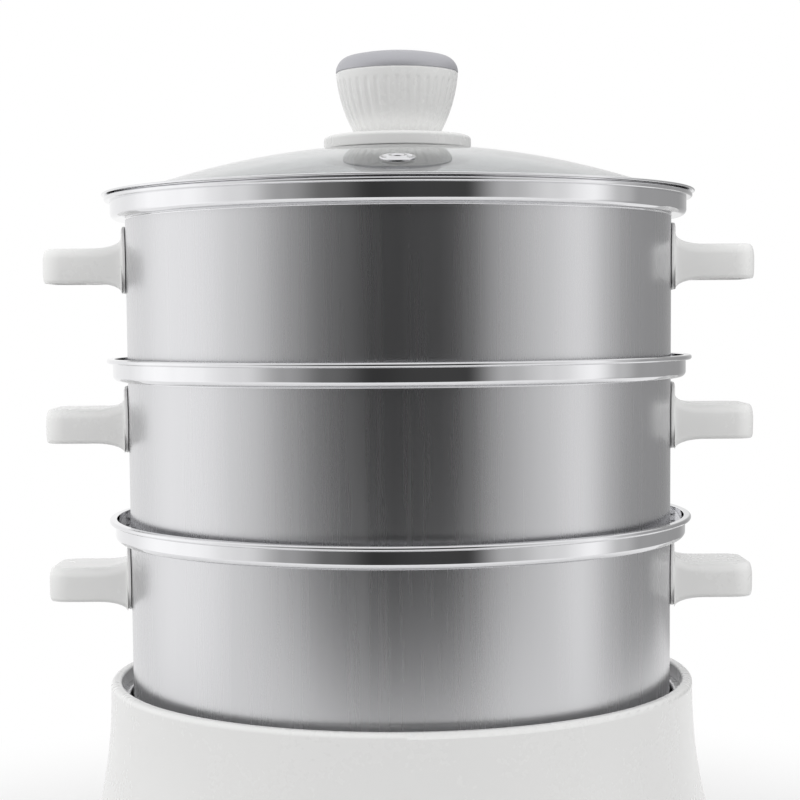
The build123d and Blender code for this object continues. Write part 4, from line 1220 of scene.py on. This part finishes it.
        # Without its outer side the floor welds to the lathed shell's open edge.
        edge = (self.field_edge - self.sheet / 2) * MM
        rim = [f for f in shape.faces if all(v.co.xy.length > edge for v in f.verts)]
        bmesh.ops.delete(shape, geom=rim, context="FACES")
        mesh = bpy.data.meshes.new("floor")
        shape.to_mesh(mesh)
        shape.free()
        return bpy.data.objects.new("floor", mesh)

    def build(self, bench: Bench) -> None:
        """Make the shell and its two handles.

        Args:
            bench: fits the pieces.
        """
        piece = lathe(f"{self.name}_shell_sheet", self.outline())
        if self.perforated:
            floor = self.perforated_floor()
            whole = bmesh.new()
            whole.from_mesh(piece.data)
            whole.from_mesh(floor.data)
            whole.to_mesh(piece.data)
            whole.free()
            bpy.data.objects.remove(floor)
            tidy(piece)
        bench.fit(piece, self.name, (SATIN_STEEL, MIRROR_STEEL), self.shell)
        middle = self.lip_top - self.ear_depth
        screw_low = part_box(f"{self.name}_handle_screws")[0].z / MM
        for side, word in ((1, "right"), (-1, "left")):
            name = f"{self.name}_handle_{word}"
            handle = self.ear.build(f"{name}_moulding", side, middle, screw_low)
            bench.fit(handle, self.name, (WHITE_PLASTIC,), name)


# ---------------------------------------------------------------- lid


@dataclass
class Lid:
    """The glass lid's knob, cap, rim and eyelet; its other pieces keep their CAD shapes.

    Sizes are in millimetres.

    Attributes:
        foot: the knob's radius at the flange.
        head: its radius under the cap.
        side: radius of its swelling side.
        flutes: how many grooves go round it.
        flute: radius of a groove.
        flute_depth: how deep a groove is.
        flute_top: the height over which a groove runs out under the collar.
        flute_low: the height over which it runs out at the foot.
        foot_plain: the plain height at the foot.
        collar: the plain height under the cap.
        knob_edge: how far the knob's two edges are eased.
        knob_edge_height: over what height they are.
        cap_shoulder: radius of the cap's shoulder.
        cap_dome: radius of the cap's top.
        cap_foot: the chamfer at the cap's joint with the knob.
        per_flute: how many points one groove's width has.
        levels: how many spans the knob's side has.
        dome: radius of the glass's outer face.
        glass_sheet: the glass's thickness.
        glass_edge: the glass's radius.
        glass_gap: how far the rim's fold stands off the glass.
        fold: the inner radius of the rim's fold.
        seat: the rim's radius inside the tier's lip.
        bead_gap: how far the rim's bead stands over that lip.
        vent_reach: how far in front of the axis the vent is.
        vent_bore: radius of the vent's hole.
        vent_collar: radius of its eyelet's collar.
    """

    foot: float = 20.8
    head: float = 31.0
    side: float = 72.0
    flutes: int = 36
    flute: float = 2.4
    flute_depth: float = 0.45
    flute_top: float = 2.2
    flute_low: float = 1.6
    foot_plain: float = 0.6
    collar: float = 5.0
    knob_edge: float = 0.5
    knob_edge_height: float = 0.8
    cap_shoulder: float = 8.0
    cap_dome: float = 115.0
    cap_foot: float = 0.3
    per_flute: int = 14
    levels: int = 40
    dome: float = 392.0
    glass_sheet: float = 4.0
    glass_edge: float = 143.4
    glass_gap: float = 0.1
    fold: float = 140.3
    seat: float = 144.2
    bead_gap: float = 0.45
    vent_reach: float = 104.0
    vent_bore: float = 2.5
    vent_collar: float = 8.3

    def side_radius(self, z: float, low: float, high: float) -> float:
        """The knob's plain radius at a height.

        Args:
            z: the height.
            low: the height of its foot.
            high: the height of its head.

        Returns:
            The radius there, on the arc from the foot to the head.
        """
        foot, head = Vector((self.foot, low)), Vector((self.head, high))
        chord = head - foot
        reach = math.sqrt(self.side**2 - (chord.length / 2) ** 2)
        inward = Vector((-chord.y, chord.x)).normalized()
        centre = (foot + head) / 2 + inward * reach
        return centre.x + math.sqrt(max(self.side**2 - (z - centre.y) ** 2, 0))

    def groove(self, turn: float, radius: float) -> float:
        """How deep the grooves are at a place round the knob.

        Args:
            turn: the place, in radians.
            radius: the knob's plain radius there.

        Returns:
            The depth, 0 on the ridges between the grooves.
        """
        pitch = math.tau / self.flutes
        off = ((turn + pitch / 2) % pitch - pitch / 2) * radius
        floor = self.flute - self.flute_depth
        return max(0.0, math.sqrt(max(self.flute**2 - off**2, 0)) - floor)

    def knob(self) -> bpy.types.Object:
        """The fluted knob.

        Returns:
            The new object.
        """
        low, high = (corner.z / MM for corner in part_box("lid_knob"))
        count = self.flutes * self.per_flute
        turns = [math.tau * k / count for k in range(count)]
        rings = [[Vector((0, 0, low)) * MM]]
        for level in range(self.levels + 1):
            z = low + (high - low) * level / self.levels
            radius = self.side_radius(z, low, high)
            fade = min(1.0, max(0.0, (high - self.collar - z) / self.flute_top + 0.5))
            fade *= min(1.0, max(0.0, (z - low - self.foot_plain) / self.flute_low))
            fade = fade * fade * (3 - 2 * fade)  # eased at both ends
            near_edge = max(0.0, 1 - min(z - low, high - z) / self.knob_edge_height)
            edge = self.knob_edge * near_edge**2
            reaches = [radius - fade * self.groove(t, radius) - edge for t in turns]
            spots = zip(reaches, turns, strict=True)
            rings.append([Vector((r * math.cos(t), r * math.sin(t), z)) * MM for r, t in spots])
        rings.append([Vector((0, 0, high)) * MM])
        return skin("lid_knob_fluted", rings)

    def cap(self) -> bpy.types.Object:
        """The domed cap.

        Returns:
            The new object.
        """
        low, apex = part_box("lid_knob")[1].z / MM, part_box("lid_knob_cap")[1].z / MM
        shoulder, dome = self.cap_shoulder, self.cap_dome
        hub = self.head - shoulder
        # The dome's arc meets the shoulder's where both lean by this angle.
        lean = math.asin(hub / (dome - shoulder))
        base = apex - dome + (dome - shoulder) * math.cos(lean)
        dome_steps, shoulder_steps = 12, 14
        turns = [lean * k / dome_steps for k in range(dome_steps)]
        crown = [(dome * math.sin(t), apex - dome + dome * math.cos(t)) for t in turns]
        rest = math.pi / 2 - lean
        turns = [lean + rest * k / shoulder_steps for k in range(shoulder_steps + 1)]
        edge = [(hub + shoulder * math.sin(t), base + shoulder * math.cos(t)) for t in turns]
        foot = [(self.head - self.cap_foot, low), (0.0, low)]
        return lathe("lid_knob_cap_domed", [(r, z, Zone.BODY) for r, z in crown + edge + foot])

    def glass(self, r: float, depth: float) -> float:
        """The height of the glass at a radius, on its outer face or at a depth below it."""
        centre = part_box("lid_glass")[1].z / MM - self.dome
        return centre + math.sqrt((self.dome - depth) ** 2 - r**2)

    def rim(self) -> bpy.types.Object:
        """The folded rim, whose bead stands just clear of the tier's lip.

        Returns:
            The new object.
        """
        low_corner, high_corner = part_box("lid_rim")
        low, top, outer = low_corner.z / MM, high_corner.z / MM, high_corner.x / MM
        under_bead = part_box("top_tier_shell")[1].z / MM + self.bead_gap
        bead = (top - under_bead) / 2 * 0.98  # a hair less than half, so that its bends don't meet
        fold, edge, sheet, gap = self.fold, self.glass_edge, self.glass_sheet, self.glass_gap
        corners = [
            Corner(fold, low, 0.3),
            Corner(self.seat, low, 0.5),
            Corner(self.seat, under_bead),
            Corner(outer, under_bead, bead),
            Corner(outer, top, bead),
            Corner(fold, top, 0.6),
            Corner(fold, self.glass(fold, 0) + gap),
            Corner(edge, self.glass(edge, 0) + gap),
            Corner(edge, self.glass(edge, sheet) - gap),
            Corner(fold, self.glass(fold, sheet) - gap),
        ]
        return lathe("lid_rim_folded", bent(corners, closed=True), closed=True)

    def eyelet(self) -> bpy.types.Object:
        """The vent's eyelet, with its rolled collar and raised throat.

        Returns:
            The new object, square to the glass at the vent.
        """
        bore, collar, sheet = self.vent_bore, self.vent_collar, self.glass_sheet
        # Heights are from the glass's outer face: the throat, the dish round it and the rolled
        # collar first, then the face on the glass and the flange under it.
        corners = [
            Corner(bore, -sheet - 0.9),
            Corner(bore, 0.6, 0.3),
            Corner(bore + 0.6, 1.3, 0.5),
            Corner(bore + 1.9, 1.3, 0.6),
            Corner(bore + 2.7, 0.2, 0.5),
            Corner(collar - 1.9, 0.15, 0.5),
            Corner(collar - 1.1, 0.75, 0.4),
            Corner(collar, 0.6, 0.4),
            Corner(collar, -0.05),
            Corner(bore + 2.3, 0.05),
            Corner(bore + 2.3, -sheet),
            Corner(collar, -sheet - 0.1),
            Corner(collar, -sheet - 0.9, 0.3),
        ]
        piece = lathe("lid_vent_eyelet_rolled", bent(corners, closed=True), closed=True, around=72)
        lean = math.asin(self.vent_reach / self.dome)
        place = Vector((0, -self.vent_reach, self.glass(self.vent_reach, 0))) * MM
        piece.data.transform(Matrix.Translation(place) @ Matrix.Rotation(lean, 4, "X"))
        return piece

    def build(self, bench: Bench) -> None:
        """Make the knob, its cap, the rim and the vent's eyelet.

        Args:
            bench: fits the pieces.
        """
        bench.fit(self.knob(), "lid", (WHITE_PLASTIC,), "lid_knob")
        bench.fit(self.cap(), "lid", (SILVER_PAINT,), "lid_knob_cap")
        bench.fit(self.rim(), "lid", (MIRROR_STEEL,), "lid_rim")
        bench.fit(self.eyelet(), "lid", (MIRROR_STEEL,), "lid_vent_eyelet")


# ---------------------------------------------------------------- control


@dataclass
class DialPrint:
    """The printed scale on the dial plate round the control knob.

    Sizes are in millimetres.

    Attributes:
        steps: how many marks follow the zero.
        sweep: the knob's whole turn in degrees.
        radius: where the numbers' middles are.
        digit: the height of a number.
        digit_share: a digit's height as a share of its font's size.
        tick_in: where a tick starts.
        tick_out: where it ends.
        tick_width: how wide it is.
        fine_tick_out: where a fine tick ends, which is half as wide.
        fine_steps: how many parts the fine ticks make of a step.
        ink: how thick the ink is.
    """

    steps: int = 5
    sweep: float = 270.0
    radius: float = 26.4
    digit: float = 4.2
    digit_share: float = 0.7
    tick_in: float = 21.9
    tick_out: float = 23.6
    tick_width: float = 0.7
    fine_tick_out: float = 22.8
    fine_steps: int = 4
    ink: float = 0.04

    @staticmethod
    def frame(joint: dict) -> Matrix:
        """The dial's own axes: x to the right, y up its face and z towards the hand.

        Args:
            joint: the control knob's joint.

        Returns:
            The matrix from these axes to the object's.
        """
        out = -Vector(joint["axis"]).normalized()
        right = Vector((1, 0, 0))
        up = out.cross(right).normalized()
        origin = Vector(joint["pos_m"])
        axes = Matrix((right, up, out)).transposed().to_4x4()
        return Matrix.Translation(origin) @ axes

    def tick(self, shape: bmesh.types.BMesh, turn: float, out: float, width: float) -> None:
        """Add one tick mark.

        Args:
            shape: the print's mesh.
            turn: its place in degrees, clockwise from the top.
            out: where it ends.
            width: how wide it is.
        """
        angle = math.radians(90 - turn)
        along = Vector((math.cos(angle), math.sin(angle)))
        across = Vector((-along.y, along.x)) * width / 2
        start, end = self.tick_in * along, out * along
        plan = (start - across, end - across, end + across, start + across)
        prism([(spot.x, spot.y) for spot in plan], 0.0, self.ink, shape)

    def number(self, shape: bmesh.types.BMesh, value: int, turn: float) -> None:
        """Add one number, upright at its place.

        Args:
            shape: the print's mesh.
            value: the number.
            turn: its place in degrees, clockwise from the top.
        """
        text = bpy.data.curves.new("digit", "FONT")
        text.body = str(value)
        text.size = self.digit * MM / self.digit_share
        text.align_x = "CENTER"
        text.align_y = "CENTER"
        text.extrude = self.ink * MM / 2
        holder = add_object("digit", text)
        mesh = evaluated_mesh(holder)
        angle = math.radians(90 - turn)
        place = Vector((math.cos(angle), math.sin(angle), 0)) * self.radius
        mesh.transform(Matrix.Translation((place + Vector((0, 0, self.ink / 2))) * MM))
        shape.from_mesh(mesh)
        bpy.data.objects.remove(holder)
        bpy.data.curves.remove(text)
        bpy.data.meshes.remove(mesh)

    def build(self, bench: Bench, joint: dict, plate: bpy.types.Object) -> None:
        """Print the scale.

        Args:
            bench: fits the piece.
            joint: the control knob's joint.
            plate: the dial plate's CAD node.
        """
        shape = bmesh.new()
        pitch = self.sweep / self.steps
        for step in range(self.steps + 1):
            self.tick(shape, pitch * step, self.tick_out, self.tick_width)
            self.number(shape, step, pitch * step)
            if step < self.steps:
                for fine in range(1, self.fine_steps):
                    turn = pitch * (step + fine / self.fine_steps)
                    self.tick(shape, turn, self.fine_tick_out, self.tick_width / 2)
        mesh = bpy.data.meshes.new("dial_print")
        shape.to_mesh(mesh)
        shape.free()
        axes = self.frame(joint)
        face = max((axes.inverted() @ v.co).z for v in plate.data.vertices)
        mesh.transform(axes @ Matrix.Translation((0, 0, face)))
        bench.fit(add_object("dial_print", mesh), "base", (DIAL_INK,))


# ---------------------------------------------------------------- studio


@dataclass
class Studio:
    """The floor, the light all round and the camera.

    Attributes:
        sky: how bright the surroundings are by azimuth in degrees, from the
            front and positive to the right.
        fill: the least brightness that dull surfaces get from every side.
        gain: how much more all of it counts for dull surfaces.
        ceiling: how bright they are overhead.
        ceiling_from: the elevation where the ceiling starts, in degrees.
        ceiling_full: the elevation where it is full.
        floor_hue: the floor's colour.
        floor_bounce: the same as dull surfaces see it.
        floor_reach: half of the floor's side, in metres.
        floor_near: how far out the floor takes shadows, in metres.
        floor_far: where it is plain background, in metres.
        lens: the camera's lens in millimetres.
        sensor: the width of its picture in millimetres.
        place: where the camera is, in metres.
        pitch: how far it looks down, in degrees.
        roll: how far it leans, in degrees.
        shift: how far its picture is shifted up, as a share of its width.
    """

    sky: tuple[Point, ...] = (
        (-180, 1.0),
        (-135, 1.0),
        (-109, 1.25),
        (-90, 1.2),
        (-63, 0.87),
        (-44, 0.41),
        (-27, 0.16),
        (-9, 0.045),
        (10, 0.06),
        (25, 0.06),
        (42, 0.54),
        (61, 0.83),
        (80, 1.15),
        (96, 0.6),
        (108, 0.4),
        (145, 0.36),
        (162, 0.5),
        (174, 0.9),
        (180, 1.0),
    )
    fill: float = 0.80
    gain: float = 1.1
    ceiling: float = 1.0
    ceiling_from: float = 14.0
    ceiling_full: float = 42.0
    floor_hue: str = "#F2F2F2"
    floor_bounce: str = "#B8B8B8"
    floor_reach: float = 0.75
    floor_near: float = 0.26
    floor_far: float = 0.5
    lens: float = 83.99
    sensor: float = 36.0
    place: tuple[float, float, float] = (0.0, -0.9595, 0.3107)
    pitch: float = 4.47
    roll: float = -0.45
    shift: float = 0.08

    def surroundings(self, tree: bpy.types.NodeTree, peak: float) -> bpy.types.NodeSocket:
        """Add the levels all round and the even ceiling over them.

        Args:
            tree: the world's nodes.
            peak: the brightest level, which becomes 1.

        Returns:
            The socket of their colour.
        """
        way = add_node(tree, "ShaderNodeTexCoord").outputs["Generated"]
        parts = add_node(tree, "ShaderNodeSeparateXYZ", {0: way}).outputs
        front = add_node(tree, "ShaderNodeMath", {0: parts[1], 1: -1.0}, operation="MULTIPLY")
        slope = {0: parts[0], 1: front.outputs[0]}
        azimuth = add_node(tree, "ShaderNodeMath", slope, operation="ARCTAN2").outputs[0]
        ends = {"Value": azimuth, 1: -math.pi, 2: math.pi, 3: 0.0, 4: 1.0}
        share = add_node(tree, "ShaderNodeMapRange", ends).outputs[0]
        ramp = add_node(tree, "ShaderNodeValToRGB", {0: share})
        ramp.color_ramp.interpolation = "EASE"
        stops = ramp.color_ramp.elements
        while len(stops) > 1:
            stops.remove(stops[-1])
        for k, (degrees, level) in enumerate(self.sky):
            spot = (degrees + 180) / 360
            stop = stops[0] if k == 0 else stops.new(spot)
            stop.position = spot
            stop.color = (level / peak, level / peak, level / peak, 1.0)
        start, full = (math.sin(math.radians(d)) for d in (self.ceiling_from, self.ceiling_full))
        up = {"Value": parts[2], 1: start, 2: full}
        overhead = add_node(tree, "ShaderNodeMapRange", up, interpolation_type="SMOOTHSTEP")
        top = self.ceiling / peak
        layers = {0: overhead.outputs[0], 6: ramp.outputs[0], 7: (top, top, top, 1.0)}
        return add_node(tree, "ShaderNodeMix", layers, data_type="RGBA").outputs[2]

    def world(self) -> None:
        """Make the surroundings, which are plain white to the camera and through glass."""
        world = bpy.data.worlds.new("studio")
        bpy.context.scene.world = world
        tree = empty_tree(world)
        peak = max(level for _, level in self.sky)
        sky = self.surroundings(tree, peak)
        rays = add_node(tree, "ShaderNodeLightPath").outputs
        least = {0: rays["Is Diffuse Ray"], 1: self.fill / peak}
        soft = add_node(tree, "ShaderNodeMath", least, operation="MULTIPLY")
        both = {0: sky, 1: soft.outputs[0]}
        lifted = add_node(tree, "ShaderNodeVectorMath", both, operation="MAXIMUM")
        levels = {0: rays["Is Diffuse Ray"], 1: peak * (self.gain - 1), 2: peak}
        strength = add_node(tree, "ShaderNodeMath", levels, operation="MULTIPLY_ADD")
        glow = {"Color": lifted.outputs[0], "Strength": strength.outputs[0]}
        light = add_node(tree, "ShaderNodeBackground", glow)
        white = add_node(tree, "ShaderNodeBackground", {"Color": WHITE, "Strength": 1.0})
        sights = {0: rays["Is Camera Ray"], 1: rays["Is Transmission Ray"]}
        seen = add_node(tree, "ShaderNodeMath", sights, operation="MAXIMUM")
        mix = {0: seen.outputs[0], 1: light.outputs[0], 2: white.outputs[0]}
        mixed = add_node(tree, "ShaderNodeMixShader", mix)
        add_node(tree, "ShaderNodeOutputWorld", {"Surface": mixed.outputs[0]})

    def floor(self) -> None:
        """Make the floor, which takes shadows near the object and is plain beyond."""
        reach = self.floor_reach
        mesh = bpy.data.meshes.new("floor")
        corners = [(-reach, -reach, 0), (reach, -reach, 0), (reach, reach, 0), (-reach, reach, 0)]
        mesh.from_pydata(corners, [], [(0, 1, 2, 3)])
        floor = add_object("floor", mesh)
        material = bpy.data.materials.new("studio_floor")
        tree = empty_tree(material)
        place = add_node(tree, "ShaderNodeTexCoord").outputs["Object"]
        far = add_node(tree, "ShaderNodeVectorMath", {0: place}, operation="LENGTH")
        ends = {"Value": far.outputs["Value"], 1: self.floor_near, 2: self.floor_far}
        beyond = add_node(tree, "ShaderNodeMapRange", ends, interpolation_type="SMOOTHSTEP")
        rays = add_node(tree, "ShaderNodeLightPath").outputs
        seen = rays["Is Camera Ray"]
        for also in ("Is Transmission Ray", "Is Glossy Ray"):
            sights = {0: seen, 1: rays[also]}
            seen = add_node(tree, "ShaderNodeMath", sights, operation="MAXIMUM").outputs[0]
        cover = {0: seen, 1: beyond.outputs[0]}
        plain = add_node(tree, "ShaderNodeMath", cover, operation="MULTIPLY")
        hues = {0: rays["Is Diffuse Ray"], 6: linear(self.floor_hue), 7: linear(self.floor_bounce)}
        hue = add_node(tree, "ShaderNodeMix", hues, data_type="RGBA")
        paper = add_node(tree, "ShaderNodeBsdfDiffuse", {"Color": hue.outputs[2]})
        white = add_node(tree, "ShaderNodeEmission", {"Color": WHITE, "Strength": 1.0})
        mix = {0: plain.outputs[0], 1: paper.outputs[0], 2: white.outputs[0]}
        mixed = add_node(tree, "ShaderNodeMixShader", mix)
        add_node(tree, "ShaderNodeOutputMaterial", {"Surface": mixed.outputs[0]})
        mesh.materials.append(material)

    def camera(self) -> None:
        """Place the camera."""
        data = bpy.data.cameras.new("camera")
        data.lens = self.lens
        data.sensor_width = self.sensor
        data.shift_y = self.shift
        camera = add_object("camera", data)
        tilt = Matrix.Rotation(math.radians(90 - self.pitch), 4, "X")
        lean = Matrix.Rotation(math.radians(self.roll), 4, "Z")
        camera.matrix_world = Matrix.Translation(self.place) @ tilt @ lean
        bpy.context.scene.camera = camera

    def build(self) -> None:
        """Make the whole studio."""
        bpy.context.scene.view_settings.view_transform = "Standard"
        self.world()
        self.floor()
        self.camera()
        LOG.info("studio: floor, light and camera")


# ---------------------------------------------------------------- all of it


def dress_nodes(frame: dict, palette: Palette) -> None:
    """Give every CAD node the finish of its slot.

    Args:
        frame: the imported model.
        palette: the finishes.
    """
    slots = {row["node"]: row["material_slot"] for row in frame["record"]["subparts"]}
    for node, thing in frame["nodes"].items():
        material = palette.for_slot(slots[node])
        for place in thing.material_slots:
            place.material = material
        if not thing.material_slots:
            thing.data.materials.append(material)
    LOG.info("%d CAD nodes dressed", len(slots))


def main() -> None:
    """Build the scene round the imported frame."""
    logging.basicConfig(level=logging.INFO, format="%(message)s")
    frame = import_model()
    palette = Palette()
    bench = Bench(palette)
    Studio().build()
    dress_nodes(frame, palette)
    for vessel in (
        Vessel("pot", perforated=False),
        Vessel("middle_tier", perforated=True),
        Vessel("top_tier", perforated=True),
    ):
        vessel.build(bench)
    Lid().build(bench)
    turn = next(j for j in frame["joints"] if j["name"] == "control_knob_turn")
    DialPrint().build(bench, turn, frame["nodes"]["dial_plate"])


if __name__ == "__main__":
    main()
